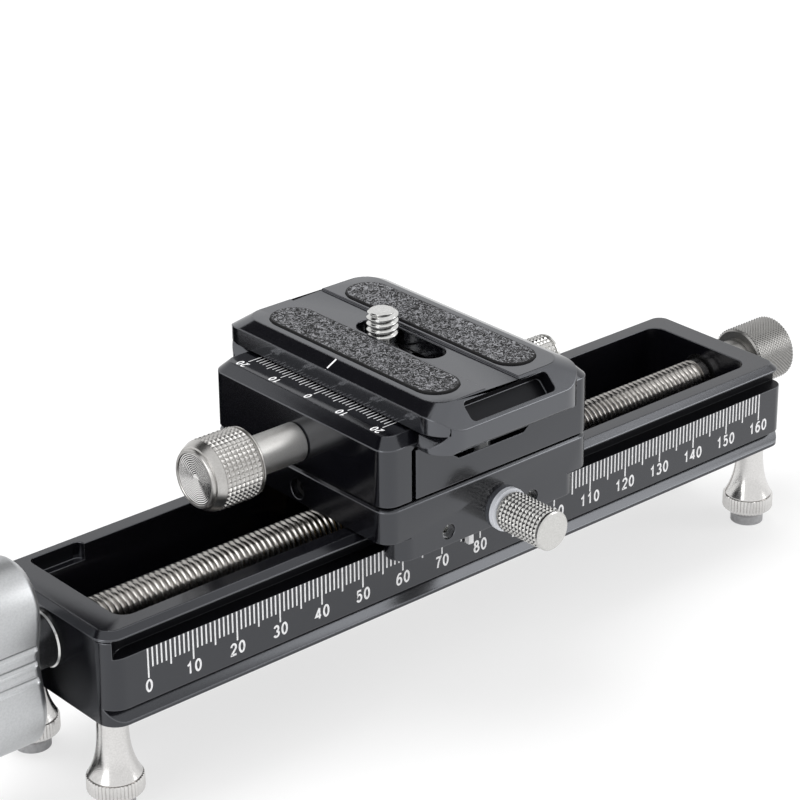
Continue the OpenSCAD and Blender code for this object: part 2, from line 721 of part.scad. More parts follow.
module pan_screw() {
  color("#3a3a3d") translate([car_x, 0, 0]) difference() {
    union() {
      translate([0, 0, block_z1 + seat_gap]) cylinder(r = post_bore_r, h = channel_z + pan_nut_h - block_z1 - pan_head_h);
      translate([0, 0, channel_z + seat_gap + pan_nut_h - pan_head_h]) cylinder(r = pan_head_r, h = pan_head_h);
    }
    translate([0, 0, channel_z + seat_gap + pan_nut_h - pan_head_h / 2]) cylinder(r = post_bore_r, h = pan_head_h, $fn = 6);
  }
}

// Knurled lock knob with its stud, head towards -Y, washer face at the origin
lock_chamfer = 0.5;

module lock_knob(stud) {
  rotate([quarter_turn, 0, 0]) rotate_extrude() polygon([[0, -stud], [lock_stud_r, -stud], [lock_stud_r, 0],
    [lock_r - lock_chamfer, 0], [lock_r, lock_chamfer], [lock_r, lock_l - lock_chamfer],
    [lock_r - lock_chamfer, lock_l], [0, lock_l]]);
}

module lock_washer(r) {
  rotate([quarter_turn, 0, 0]) difference() {
    cylinder(r = r, h = lock_washer_t);
    translate([0, 0, -cut]) cylinder(r = lock_stud_r + seat_gap, h = lock_washer_t + 2 * cut);
  }
}

lock_shoe_l = 3;
carriage_stud = block_half_w - lip_y - lock_shoe_l - shoe_gap + lock_washer_t + 2 * seat_gap;

module carriage_lock_knob() {
  color("#c4c2bd") translate([car_x + carriage_lock_x, -block_half_w - lock_washer_t - 2 * seat_gap, side_screw_z])
    lock_knob(carriage_stud);
}

module carriage_lock_washer() {
  color("#efefed") translate([car_x + carriage_lock_x, -block_half_w, side_screw_z])
    lock_washer(lock_r + lock_washer_lip);
}

module carriage_lock_shoe() {
  color("#e6dfc8") translate([car_x + carriage_lock_x, 0, side_screw_z])
    rod_y(carriage_shoe_r, -lip_y - lock_shoe_l - shoe_gap + seat_gap, -lip_y - shoe_gap);
}

// Section of the clamp with both lips, as [x, z] above the clamp's underside
module clamp_section() {
  seat_h = clamp_h - seat_depth;
  floor_h = clamp_h - channel_depth;
  tip_h = clamp_h - (seat_x - lip_x) ;
  polygon([[-body_left_x, 0], [block_half_l, 0], [block_half_l, clamp_h - clamp_chamfer],
    [block_half_l - clamp_chamfer, clamp_h], [lip_x, clamp_h], [seat_x, tip_h], [seat_x, seat_h],
    [channel_top_half_w, seat_h], [channel_top_half_w, floor_h + channel_slope_h], [channel_half_w, floor_h],
    [-channel_half_w, floor_h], [-channel_top_half_w, floor_h + channel_slope_h],
    [-channel_top_half_w, seat_h], [-body_left_x, seat_h]]);
}

module jaw_section() {
  polygon([[-block_half_l, 0], [-jaw_inner_x, 0], [-jaw_inner_x, clamp_h - (jaw_inner_x - lip_x)],
    [-lip_x, clamp_h], [clamp_chamfer - block_half_l, clamp_h], [-block_half_l, clamp_h - clamp_chamfer]]);
}

module along_y(w) { rotate([quarter_turn, 0, 0]) linear_extrude(w, center = true) children(); }

spring_wall = 0.8;
spring_l = 5;
spring_seat_r = jaw_screw_r + spring_wall + 2 * seat_gap;
pin_gap = 0.05;
pin_in_jaw = jaw_wall * 3 / 5;
pin_in_body = 8;
pin_z = clamp_z0 + jaw_knob_rise;
stud_in_body = block_half_l - channel_top_half_w - seat_gap;

module clamp_body() {
  color("#2a2a2e") translate([car_x, 0, clamp_z0]) difference() {
    intersection() {
      along_y(block_w) clamp_section();
      chamfer_block(block_l, block_w, clamp_h, block_corner_r, clamp_chamfer);
    }
    translate([0, 0, -cut]) cylinder(r = post_r + post_gap, h = clamp_h);
    for (s = [-1, 1]) translate([0, s * (block_half_w - channel_screw_inset), -cut])
      cylinder(r = channel_screw_r / 2 + fit, h = clamp_h);
    translate([0, 0, jaw_knob_rise]) {
      rod_x(jaw_screw_r + seat_gap, -body_left_x - cut, -body_left_x + jaw_screw_l + seat_gap);
      rod_x(spring_seat_r, -body_left_x - cut, -body_left_x - jaw_gap + spring_l);
      for (s = [-1, 1]) translate([0, s * guide_pin_y, 0])
        rod_x(guide_pin_r + pin_gap, -body_left_x - cut, -body_left_x + pin_in_body);
    }
    translate([0, 0, pan_lock_rise]) {
      rod_x(lock_stud_r + fit, channel_top_half_w, block_half_l + cut);
      rod_x(shoe_r + fit, 0, block_half_l);
    }
  }
}

// Button-head screws near the two ends of the clamp's channel
module channel_screws() {
  color("#d8d8d6") for (s = [-1, 1]) translate([car_x, s * (block_half_w - channel_screw_inset), channel_z])
    difference() {
      union() {
        cylinder(r = channel_screw_r, h = channel_screw_h);
        translate([0, 0, -jaw_knob_rise + seat_gap]) cylinder(r = channel_screw_r / 2, h = jaw_knob_rise);
      }
      translate([0, 0, channel_screw_h / 2]) cylinder(r = channel_screw_r / 2, h = channel_screw_h, $fn = 6);
    }
}

module pan_lock_knob() {
  color("#c4c2bd") translate([car_x + block_half_l + lock_washer_t + 2 * seat_gap, 0, pan_lock_z])
    rotate([0, 0, quarter_turn]) lock_knob(stud_in_body + lock_washer_t);
}

module pan_lock_washer() {
  color("#efefed") translate([car_x + block_half_l, 0, pan_lock_z]) rotate([0, 0, quarter_turn]) lock_washer(lock_r);
}

module pan_lock_shoe() {
  color("#b08d3e") translate([car_x, 0, pan_lock_z])
    rod_x(shoe_r, post_r + shoe_gap, channel_top_half_w + fit);
}

module jaw_spring() {
  color("#b9b9b6") translate([car_x, 0, jaw_knob_z]) difference() {
    rod_x(jaw_screw_r + spring_wall, -jaw_inner_x + seat_gap, -jaw_inner_x + spring_l - seat_gap);
    rod_x(jaw_screw_r + seat_gap, -jaw_inner_x, -jaw_inner_x + spring_l);
  }
}

module clamp_jaw() {
  color("#2a2a2e") translate([car_x, 0, clamp_z0]) difference() {
    intersection() {
      along_y(block_w) jaw_section();
      chamfer_block(block_l, block_w, clamp_h, block_corner_r, clamp_chamfer);
    }
    translate([0, 0, jaw_knob_rise]) {
      rod_x(jaw_screw_r + seat_gap, -block_half_l - cut, 0);
      for (s = [-1, 1]) translate([0, s * guide_pin_y, 0])
        rod_x(guide_pin_r + fit, -jaw_inner_x - pin_in_jaw, 0);
    }
  }
}

module guide_pins() {
  color("#b9b9b6") for (s = [-1, 1]) translate([car_x, s * guide_pin_y, pin_z])
    rod_x(guide_pin_r, -jaw_inner_x - pin_in_jaw + fit, -body_left_x + pin_in_body - pin_gap);
}

// Jaw knob: knurled head with a stepped face, and a smooth neck
knob_rim = 1;
knob_face_step = 2.4;
knob_tail_chamfer = 0.6;
jaw_knob_x1 = -block_half_l - seat_gap - jaw_neck_l;
jaw_knob_x0 = jaw_knob_x1 - jaw_knob_l;

module jaw_knob() {
  color("#c9c7c2") translate([car_x, 0, jaw_knob_z]) difference() {
    along_x() rotate_extrude() polygon([[0, jaw_knob_x0], [jaw_disc_r + knob_rim, jaw_knob_x0],
      [jaw_disc_r + knob_rim, jaw_knob_x0 + knob_rim / 2], [jaw_knob_r, jaw_knob_x0 + knob_face_step],
      [jaw_knob_r, jaw_knob_x1 - knob_tail_chamfer], [jaw_knob_r - knob_tail_chamfer, jaw_knob_x1],
      [jaw_neck_r, jaw_knob_x1], [jaw_neck_r, -block_half_l - seat_gap], [0, -block_half_l - seat_gap]]);
    rod_x(jaw_disc_r + fit, jaw_knob_x0 - cut, jaw_knob_x0 + knob_rim);
    rod_x(jaw_screw_r + fit, jaw_knob_x1, 0);
  }
}

// Polished disc with a shallow cone in the knob's face
disc_dish = 0.6;

module jaw_knob_disc() {
  color("#e4e2de") translate([car_x, 0, jaw_knob_z]) along_x() rotate_extrude()
    polygon([[0, jaw_knob_x0 + disc_dish], [jaw_disc_r, jaw_knob_x0 + knob_rim / 5],
      [jaw_disc_r, jaw_knob_x0 + knob_rim], [0, jaw_knob_x0 + knob_rim]]);
}

module jaw_screw() {
  color("#b9b9b6") translate([car_x, 0, jaw_knob_z])
    rod_x(jaw_screw_r, jaw_knob_x1 + fit, -body_left_x + jaw_screw_l);
}

// Section of the plate, as [x, z] above the plate's underside
plate_h = plate_z1 - plate_z0;
neck_h = plate_edge + plate_neck;
foot_bevel = 0.5;

function plate_side(s) = [[s * (plate_half_w - foot_bevel), 0], [s * plate_half_w, foot_bevel],
  [s * plate_half_w, plate_edge], [s * (plate_half_w - plate_neck), neck_h], [s * plate_half_w, neck_h],
  [s * plate_half_w, plate_h]];

// Lengthwise section, as [y, z]
function plate_end(s) = [[s * (plate_half_l - plate_edge), 0], [s * plate_half_l, plate_edge],
  [s * plate_half_l, plate_h]];

// Slopes all round the flat top, drawn out sideways down to the foot of the end slopes
slope_reach = plate_slope_w * (plate_end_slope_h / plate_slope_h - 1);

module plate_slopes() {
  hull() {
    linear_extrude(plate_h - plate_end_slope_h)
      round_rect(plate_w + 2 * slope_reach, plate_l, plate_top_r, $fn = hull_fn);
    linear_extrude(plate_h)
      round_rect(plate_w - 2 * plate_slope_w, plate_l - 2 * plate_end_slope, plate_top_r, $fn = hull_fn);
  }
}

end_angle = atan(plate_end_slope_h / plate_end_slope);
window_len = plate_end_slope / cos(end_angle);
window_inset = 0.9;
window_corner_r = 1;

module end_window() {
  translate([0, plate_half_l - plate_end_slope / 2, plate_h - plate_end_slope_h / 2])
    rotate([-end_angle, 0, 0]) translate([0, 0, -window_depth])
      linear_extrude(window_depth + cut) round_rect(window_w, window_len - 2 * window_inset, window_corner_r);
}

module camera_plate() {
  color("#2d2d31") translate([car_x, 0, plate_z0]) difference() {
    intersection() {
      along_y(plate_l) polygon(concat(plate_side(1), reversed(plate_side(-1))));
      along_x() linear_extrude(plate_w, center = true) polygon(concat(plate_end(1), reversed(plate_end(-1))));
      linear_extrude(plate_h) round_rect(plate_w, plate_l, plate_corner_r);
      plate_slopes();
    }
    translate([0, 0, plate_h - strip_depth]) linear_extrude(plate_h)
      square([strip_w, plate_l + 2 * cut], center = true);
    translate([0, 0, -cut]) long_slot(slot_r, slot_half_l, plate_h + 2 * cut);
    translate([0, 0, -cut]) long_slot(under_slot_r, slot_half_l, under_slot_depth + cut);
    for (s = [-1, 1]) {
      translate([s * pad_x, 0, plate_h - pad_seat]) long_slot(pad_half_w + fit, pad_half_l - pad_half_w, plate_h);
      rotate([0, 0, s > 0 ? 0 : half_turn]) end_window();
    }
  }
}

module rubber_pad(s) {
  color("#3b3b3e") translate([car_x + s * pad_x, 0, plate_z1 - pad_seat])
    long_slot(pad_half_w, pad_half_l - pad_half_w, pad_seat + pad_proud);
}

module left_pad() { rubber_pad(-1); }
module right_pad() { rubber_pad(1); }

// Camera screw: slotted head under the plate, and the thread above it
camera_head_h = 2.2;
screw_washer_t = 0.9;
camera_head_rise = under_slot_depth - screw_washer_t - camera_head_h - 2 * seat_gap;
camera_neck_r = 2.6;
coin_slot_w = 1.2;
tip_chamfer = 0.5;
camera_top_z = plate_z1 + camera_screw_h;
neck_top = plate_z1 - plate_z0 - camera_head_rise - seat_gap;

module screw_washer() {
  color("#9a9a98") translate([car_x, camera_screw_y, plate_z0 + under_slot_depth - screw_washer_t - seat_gap])
    difference() {
      cylinder(r = camera_head_r - tip_chamfer, h = screw_washer_t);
      translate([0, 0, -cut]) cylinder(r = camera_screw_r + seat_gap, h = screw_washer_t + 2 * cut);
    }
}

module camera_screw() {
  color("#d6d4d0") translate([car_x, camera_screw_y, plate_z0 + camera_head_rise]) difference() {
    rotate_extrude() polygon([[0, 0], [camera_head_r, 0], [camera_head_r, camera_head_h],
      [camera_neck_r, camera_head_h], [camera_neck_r, neck_top], [camera_screw_r, neck_top],
      [camera_screw_r, camera_top_z - plate_z0 - camera_head_rise - tip_chamfer],
      [camera_screw_r - tip_chamfer, camera_top_z - plate_z0 - camera_head_rise],
      [0, camera_top_z - plate_z0 - camera_head_rise]]);
    cube([2 * camera_head_r + cut, coin_slot_w, camera_head_h], center = true);
  }
}

rail_frame();
tripod_insert();
left_bush();
right_bush();
foot_front_left();
foot_front_right();
foot_back_left();
foot_back_right();
foot_pads();
lead_screw();
thrust_collar();
drive_wheel();
wheel_cap();
wheel_grub_screw();
end_knob();
end_knob_grub_screw();
carriage_block();
drive_nut();
nut_screws();
front_gib();
back_gib();
gib_screws();
index_pointer();
pan_post();
post_set_screw();
pan_ring();
pan_nut();
pan_screw();
carriage_lock_knob();
carriage_lock_washer();
carriage_lock_shoe();
clamp_body();
channel_screws();
pan_lock_knob();
pan_lock_washer();
pan_lock_shoe();
jaw_spring();
clamp_jaw();
guide_pins();
jaw_knob();
jaw_knob_disc();
jaw_screw();
camera_plate();
left_pad();
right_pad();
screw_washer();
camera_screw();
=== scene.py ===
import math

import bmesh
import bpy
from mathutils import Matrix, Vector


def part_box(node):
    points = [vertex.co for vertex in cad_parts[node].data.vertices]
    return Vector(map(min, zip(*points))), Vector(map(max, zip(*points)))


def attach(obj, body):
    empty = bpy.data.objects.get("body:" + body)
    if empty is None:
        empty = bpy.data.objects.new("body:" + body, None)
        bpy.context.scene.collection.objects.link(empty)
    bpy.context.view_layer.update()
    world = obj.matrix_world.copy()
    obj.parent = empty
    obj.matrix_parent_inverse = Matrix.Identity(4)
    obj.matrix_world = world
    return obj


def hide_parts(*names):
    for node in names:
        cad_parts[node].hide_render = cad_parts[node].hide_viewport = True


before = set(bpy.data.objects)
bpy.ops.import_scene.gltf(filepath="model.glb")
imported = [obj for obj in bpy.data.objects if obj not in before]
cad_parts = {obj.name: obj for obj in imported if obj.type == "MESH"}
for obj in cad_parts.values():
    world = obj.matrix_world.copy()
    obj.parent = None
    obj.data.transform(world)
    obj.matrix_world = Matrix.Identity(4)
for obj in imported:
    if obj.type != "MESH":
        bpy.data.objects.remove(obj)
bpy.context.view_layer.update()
mm = 0.001
print("frame loaded:", len(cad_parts), "nodes")


def middle(node):
    low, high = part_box(node)
    return (low + high) / 2


# Shader tools
class Wave:  # a shader socket that takes Python's arithmetic
    def __init__(self, kit, socket):
        self.kit, self.socket = kit, socket

    def maths(self, operation, first, second):
        made = self.kit.add("ShaderNodeMath", {"operation": operation}, {0: first, 1: second})
        return Wave(self.kit, made.outputs[0])

    def __add__(self, other): return self.maths("ADD", self, other)
    def __radd__(self, other): return self.maths("ADD", other, self)
    def __sub__(self, other): return self.maths("SUBTRACT", self, other)
    def __rsub__(self, other): return self.maths("SUBTRACT", other, self)
    def __mul__(self, other): return self.maths("MULTIPLY", self, other)
    def __rmul__(self, other): return self.maths("MULTIPLY", other, self)
    def __pow__(self, other): return self.maths("POWER", self, other)
    def __abs__(self): return self.maths("ABSOLUTE", self, 0.0)


class Finish:  # one material and the nodes it is built from
    def __init__(self, name):
        self.material = bpy.data.materials.new(name)
        self.material.use_nodes = True
        self.tree = self.material.node_tree
        self.shader = self.tree.nodes["Principled BSDF"]
        self.place = Wave(self, self.add("ShaderNodeTexCoord", {}, {}).outputs["Object"])

    def add(self, kind, settings, values):
        made = self.tree.nodes.new(kind)
        for key, value in settings.items():
            setattr(made, key, value)
        for key, value in values.items():
            self.feed(made.inputs[key], value)
        return made

    def feed(self, socket, value):
        if isinstance(value, Wave):
            self.tree.links.new(value.socket, socket)
        elif isinstance(value, bpy.types.NodeSocket):
            self.tree.links.new(value, socket)
        else:
            socket.default_value = value

    def set(self, **values):
        for key, value in values.items():
            self.feed(self.shader.inputs[key.replace("_", " ")], value)

    def axes(self, move=(0, 0, 0)):
        spot = self.add("ShaderNodeMapping", {}, {"Vector": self.place, "Location": [-v for v in move]})
        parts = self.add("ShaderNodeSeparateXYZ", {}, {"Vector": spot.outputs[0]})
        return [Wave(self, parts.outputs[i]) for i in range(3)]

    def noise(self, scale, detail=2.0, rough=0.5, bend=0.0):
        made = self.add("ShaderNodeTexNoise", {}, {"Vector": self.place, "Scale": scale, "Detail": detail,
                                                   "Roughness": rough, "Distortion": bend})
        return Wave(self, made.outputs[0])

    def sine(self, value):
        return value.maths("SINE", value, 0.0)

    def ramp(self, value, low, high, fromLow=0.0, fromHigh=1.0):
        made = self.add("ShaderNodeMapRange", {"clamp": True}, {"Value": value, "From Min": fromLow,
                        "From Max": fromHigh, "To Min": low, "To Max": high})
        return Wave(self, made.outputs[0])

    def blend(self, mask, first, second):
        made = self.add("ShaderNodeMix", {"data_type": "RGBA"}, {0: mask, 6: (*first, 1), 7: (*second, 1)})
        return made.outputs[2]

    def bump(self, height, depth, strength=1.0):
        made = self.add("ShaderNodeBump", {}, {"Height": height, "Distance": depth, "Strength": strength})
        self.set(Normal=made.outputs[0])


blasted = {"speck": 5200, "cloud": 38, "mix": (0.6, 0.4), "roughMix": (0.08, 0.05), "deep": 0.00001, "ior": 1.65,
           "tint": (0.9, 0.93, 1.0, 1)}


def anodised(name, dark, light, rough, shine):  # blasted aluminium under black dye
    finish = Finish(name)
    speck, cloud = finish.noise(blasted["speck"], 1.0), finish.noise(blasted["cloud"], 3.0)
    mottle = speck * blasted["mix"][0] + cloud * blasted["mix"][1]
    finish.set(Base_Color=finish.blend(finish.ramp(mottle, 0.0, 1.0, 0.32, 0.68), dark, light),
               Roughness=rough + (speck - 0.5) * blasted["roughMix"][0] + (cloud - 0.5) * blasted["roughMix"][1],
               Metallic=0.0, IOR=blasted["ior"], Specular_IOR_Level=shine, Specular_Tint=blasted["tint"])
    finish.bump(speck, blasted["deep"], 0.3)
    return finish.material


def turned(name, colour, shade, rough, centre, along, pitch=0.2, cut=0.0000016):  # lathe rings about one axis
    finish = Finish(name)
    spot = finish.axes(centre)
    others = [spot[i] for i in range(3) if i != along]
    reach = (others[0] * others[0] + others[1] * others[1]) ** 0.5
    rings = finish.sine((reach + spot[along]) * (math.tau / (pitch * mm)))
    grain = finish.noise(3600, 2.0)
    finish.set(Base_Color=finish.blend(finish.ramp(grain, 0.0, 1.0, 0.3, 0.7), colour, shade),
               Roughness=rough + (grain - 0.5) * 0.06, Metallic=1.0)
    finish.bump(rings + grain * 0.6, cut, 1.0)
    return finish.material


def plain(name, colour, shade, rough, metal=0.0, scale=900.0, depth=0.000004):  # speckled finish for small pieces
    finish = Finish(name)
    speck = finish.noise(scale, 3.0)
    finish.set(Base_Color=finish.blend(finish.ramp(speck, 0.0, 1.0, 0.35, 0.65), colour, shade),
               Roughness=rough + (speck - 0.5) * 0.1, Metallic=metal)
    finish.bump(speck, depth, 0.4)
    return finish.material


# valleyShade is painted shade for the creases between ridges and for the gap round the pad
rubber = {"halfLong": 25.5 * mm, "halfWide": 4.65 * mm, "ridges": 1250, "wriggle": 1.3, "steep": 9.0,
          "patches": 700, "rim": (0.3 * mm, 0.2 * mm), "deep": 0.12 * mm, "valleyShade": (0.004, 0.004, 0.0045),
          "crest": (0.19, 0.192, 0.204)}


def padRubber(name, centre):  # rubber pressed in fine wriggling ridges, smooth at the rim
    finish = Finish(name)
    field = finish.noise(rubber["ridges"], 0.5, 0.5, rubber["wriggle"])
    ridge = 1.0 - abs(field - 0.5) * rubber["steep"]
    patch = finish.noise(rubber["patches"], 1.0)
    spot = finish.axes(centre)
    past = abs(spot[1]) - (rubber["halfLong"] - rubber["halfWide"])
    beyond = past.maths("MAXIMUM", past, 0.0)
    reach = (spot[0] * spot[0] + beyond * beyond) ** 0.5
    inner, outer = (rubber["halfWide"] - width for width in rubber["rim"])
    inside = finish.ramp(reach, 1.0, 0.0, inner, outer)
    height = finish.ramp(ridge + (patch - 0.5) * 0.6, 0.0, 1.0, 0.25, 0.65) * inside
    # painted shade: the valleys between ridges and the smooth rim take the near-black valley colour, standing in for
    # shade in the creases and in the gap round the pad
    finish.set(Base_Color=finish.blend(height, rubber["valleyShade"], rubber["crest"]),
               Roughness=finish.ramp(height, 0.8, 0.5))
    finish.bump(height, rubber["deep"], 1.0)
    return finish.material


knobCentre, driveCentre = middle("jaw_knob"), middle("lead_screw")
lockCentre, panCentre = middle("carriage_lock_knob"), middle("pan_lock_knob")
materials = {
    "rail": anodised("railBlack", (0.002, 0.002, 0.003), (0.004, 0.004, 0.0055), 0.17, 0.52),
    "block": anodised("blockBlack", (0.0025, 0.0025, 0.0035), (0.005, 0.005, 0.0065), 0.16, 0.6),
    "clamp": anodised("clampBlack", (0.002, 0.002, 0.003), (0.004, 0.004, 0.0055), 0.13, 0.6),
    "plate": anodised("plateBlack", (0.003, 0.003, 0.004), (0.0055, 0.0055, 0.007), 0.13, 1.0),
    # painted shade: a duller, less reflective black for the faces inside the guide grooves and the plate's end
    # windows
    "recess": anodised("recessBlack", (0.002, 0.002, 0.003), (0.004, 0.004, 0.005), 0.4, 0.12),
    # rubbed wear and painted highlight: a lighter, shinier black for every softened edge of the black bodies
    "edge": anodised("rubbedEdgeHighlight", (0.006, 0.006, 0.007), (0.016, 0.016, 0.018), 0.26, 0.9),
    "boss": anodised("bossBlack", (0.004, 0.004, 0.004), (0.006, 0.006, 0.006), 0.26, 0.35),
    "wheel": plain("wheelSilver", (0.5, 0.51, 0.52), (0.56, 0.57, 0.58), 0.42, 1.0, 2600, 0.000006),
    "screw": plain("screwSteel", (0.36, 0.345, 0.33), (0.46, 0.445, 0.425), 0.22, 1.0, 700),
    "steel": plain("brightSteel", (0.62, 0.62, 0.61), (0.7, 0.7, 0.69), 0.2, 1.0, 1200),
    "blackSteel": plain("blackSteel", (0.03, 0.03, 0.032), (0.06, 0.06, 0.06), 0.4, 0.7),
    "bronze": plain("nutBronze", (0.5, 0.33, 0.13), (0.6, 0.42, 0.18), 0.35, 1.0),
    "gib": plain("gibAcetal", (0.01, 0.01, 0.01), (0.02, 0.02, 0.02), 0.4),
    "footRubber": plain("footRubber", (0.34, 0.34, 0.35), (0.42, 0.42, 0.43), 0.6, 0.0, 1500, 0.00003),
    "nylon": plain("whiteNylon", (0.76, 0.78, 0.83), (0.82, 0.84, 0.89), 0.35, 0.0, 500, 0.00001),
    "slide": plain("slidePlastic", (0.03, 0.03, 0.03), (0.045, 0.045, 0.045), 0.5),
    "mark": plain("markWhite", (0.72, 0.72, 0.73), (0.82, 0.82, 0.83), 0.55, 0.0, 2400, 0.000003),
    "leftPad": padRubber("leftPadRubber", middle("left_pad")),
    "rightPad": padRubber("rightPadRubber", middle("right_pad")),
    "knob": turned("knobSatin", (0.47, 0.46, 0.445), (0.55, 0.54, 0.525), 0.3, knobCentre, 0),
    "neck": turned("neckSatin", (0.72, 0.71, 0.69), (0.8, 0.79, 0.77), 0.45, knobCentre, 0),
    "disc": turned("discBright", (0.7, 0.69, 0.68), (0.8, 0.79, 0.78), 0.13, knobCentre, 0, 0.34, 0.000009),
    "endKnob": turned("endKnobSatin", (0.3, 0.295, 0.285), (0.37, 0.365, 0.355), 0.34, driveCentre, 0),
    "lockKnob": turned("lockKnobSatin", (0.55, 0.545, 0.53), (0.63, 0.625, 0.61), 0.26, lockCentre, 1),
    "panKnob": turned("panKnobSatin", (0.55, 0.545, 0.53), (0.63, 0.625, 0.61), 0.26, panCentre, 0),
    "foot": turned("footSatin", (0.62, 0.61, 0.6), (0.7, 0.69, 0.68), 0.18, middle("foot_front_right"), 2),
}
print("materials made:", len(materials))


# Mesh tools
def finishPiece(bm, name, body, look, hides=(), smooth=None):  # smooth: edges past this angle stay sharp
    mesh = bpy.data.meshes.new(name)
    bm.to_mesh(mesh)
    bm.free()
    piece = bpy.data.objects.new(name, mesh)
    bpy.context.scene.collection.objects.link(piece)
    for key in [look] if isinstance(look, str) else look:
        mesh.materials.append(materials[key])
    if smooth is not None:
        mesh.shade_smooth()
        mesh.set_sharp_from_angle(angle=math.radians(smooth))
    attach(piece, body)
    if hides:
        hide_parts(*hides)
    return piece


def lathe(profile, steps, relief=None):  # profile of (along, radius) turned about X
    bm = bmesh.new()
    line = [bm.verts.new((along, 0.0, max(radius, 0.0))) for along, radius in profile]
    edges = [bm.edges.new(pair) for pair in zip(line, line[1:])]
    bmesh.ops.spin(bm, geom=line + edges, cent=(0, 0, 0), axis=(1, 0, 0), angle=math.tau, steps=steps,
                   use_merge=True, use_duplicate=False)
    bmesh.ops.remove_doubles(bm, verts=bm.verts, dist=0.002 * mm)
    bmesh.ops.dissolve_degenerate(bm, edges=bm.edges, dist=0.001 * mm)
    if relief:
        for vert in bm.verts:
            reach = math.hypot(vert.co.y, vert.co.z)
            if reach > 0.01 * mm:
                change = relief(vert.co.x, math.atan2(vert.co.y, vert.co.z), reach)
                vert.co.yz = vert.co.yz * (1 + change / reach)
    bmesh.ops.recalc_face_normals(bm, faces=bm.faces)
    return bm


def outline(points, shift):  # a profile in millimetres, measured from shift
    return [(shift + along * mm, radius * mm) for along, radius in points]


def dense(start, end, radius, rows):  # points close enough for the knurling to be cut into
    return [(start + (end - start) * i / rows, radius) for i in range(rows + 1)]


def saw(value):  # 0 at whole numbers, 1 halfway
    return 1 - abs(2 * (value % 1.0) - 1)


def knurled(start, end, radius, count, rows, depth, slant):  # pyramids in rows, or diamonds where slant is 1
    def relief(along, angle, reach):
        if not start - 1e-7 <= along <= end + 1e-7 or reach < radius * 0.98:
            return 0.0
        turn, step = angle * count / math.tau, (along - start) * rows / (end - start)
        ridge = min(saw(turn + step * slant), saw(step - turn * slant))
        return -depth * (1 - min(1.0, ridge * 1.2))
    return relief


def threaded(start, end, crest, root, pitch, steps):  # right-hand helical thread along X
    bm = bmesh.new()
    worn = crest - 0.05 * mm
    shape = [(0.0, root), (0.12, root), (0.4, worn), (0.48, crest), (0.6, crest), (0.68, worn), (1.0, root)]
    line = [bm.verts.new((start - pitch * 1.5 + part * pitch, 0.0, radius)) for part, radius in shape]
    edges = [bm.edges.new(pair) for pair in zip(line, line[1:])]
    bmesh.ops.spin(bm, geom=line + edges, cent=(0, 0, 0), axis=(1, 0, 0), dvec=(pitch / steps, 0, 0),
                   angle=math.tau, steps=steps, use_duplicate=False)
    turns = 1
    while turns < (end - start) / pitch + 2:  # one turn is doubled until the length is reached
        copied = bmesh.ops.duplicate(bm, geom=bm.verts[:] + bm.edges[:] + bm.faces[:])["geom"]
        verts = [item for item in copied if isinstance(item, bmesh.types.BMVert)]
        bmesh.ops.translate(bm, verts=verts, vec=(pitch * turns, 0, 0))
        turns *= 2
    bmesh.ops.remove_doubles(bm, verts=bm.verts, dist=0.004 * mm)
    for place, side in ((start, -1), (end, 1)):
        geometry = bm.verts[:] + bm.edges[:] + bm.faces[:]
        bmesh.ops.bisect_plane(bm, geom=geometry, plane_co=(place, 0, 0), plane_no=(side, 0, 0), clear_outer=True)
        rim = [edge for edge in bm.edges if edge.is_boundary and abs(edge.verts[0].co.x - place) < 0.01 * mm]
        bmesh.ops.holes_fill(bm, edges=rim, sides=0)
    bmesh.ops.recalc_face_normals(bm, faces=bm.faces)
    return bm


def placed(bm, matrix):  # moves a shape before it is finished
    bmesh.ops.transform(bm, matrix=matrix, verts=bm.verts)
    return bm


def edgedCopy(node, name, body, look, width, segments=2, start=-1.0):
    # A CAD solid with softened edges, from start on along X. They take the last finish of look.
    limit, flat, smooth = 16, 0.6, 12.5  # degrees
    bm = bmesh.new()
    bm.from_mesh(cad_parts[node].data)
    bmesh.ops.remove_doubles(bm, verts=bm.verts, dist=0.002 * mm)
    bmesh.ops.dissolve_limit(bm, angle_limit=math.radians(flat), verts=bm.verts, edges=bm.edges)
    picked = [edge for edge in bm.edges if len(edge.link_faces) == 2 and min(vert.co.x for vert in edge.verts) > start
              and edge.calc_face_angle(0.0) > math.radians(limit)]
    made = bmesh.ops.bevel(bm, geom=picked, offset=width, offset_type="OFFSET", segments=segments, profile=0.5,
                           affect="EDGES", clamp_overlap=False, material=-1)
    for face in made["faces"]:
        face.material_index = len(look) - 1
    return finishPiece(bm, name, body, look, [node], smooth)


def strip(bm, low, high):  # a thin box from corner to corner
    low, high = Vector(low), Vector(high)
    size = high - low
    bmesh.ops.create_cube(bm, size=1.0, matrix=Matrix.Translation((low + high) / 2) @ Matrix.Diagonal((*size, 1)))


def turnTo(axis, origin):  # takes X to the given axis
    return Matrix.Translation(origin) @ Vector((1, 0, 0)).rotation_difference(Vector(axis)).to_matrix().to_4x4()


# Numerals, each a few strokes of even width in a cell 1 high
def arc(centre, radii, start, end, steps=14):
    angles = [math.radians(start + (end - start) * i / steps) for i in range(steps + 1)]
    return [(centre[0] + radii[0] * math.cos(a), centre[1] + radii[1] * math.sin(a)) for a in angles]


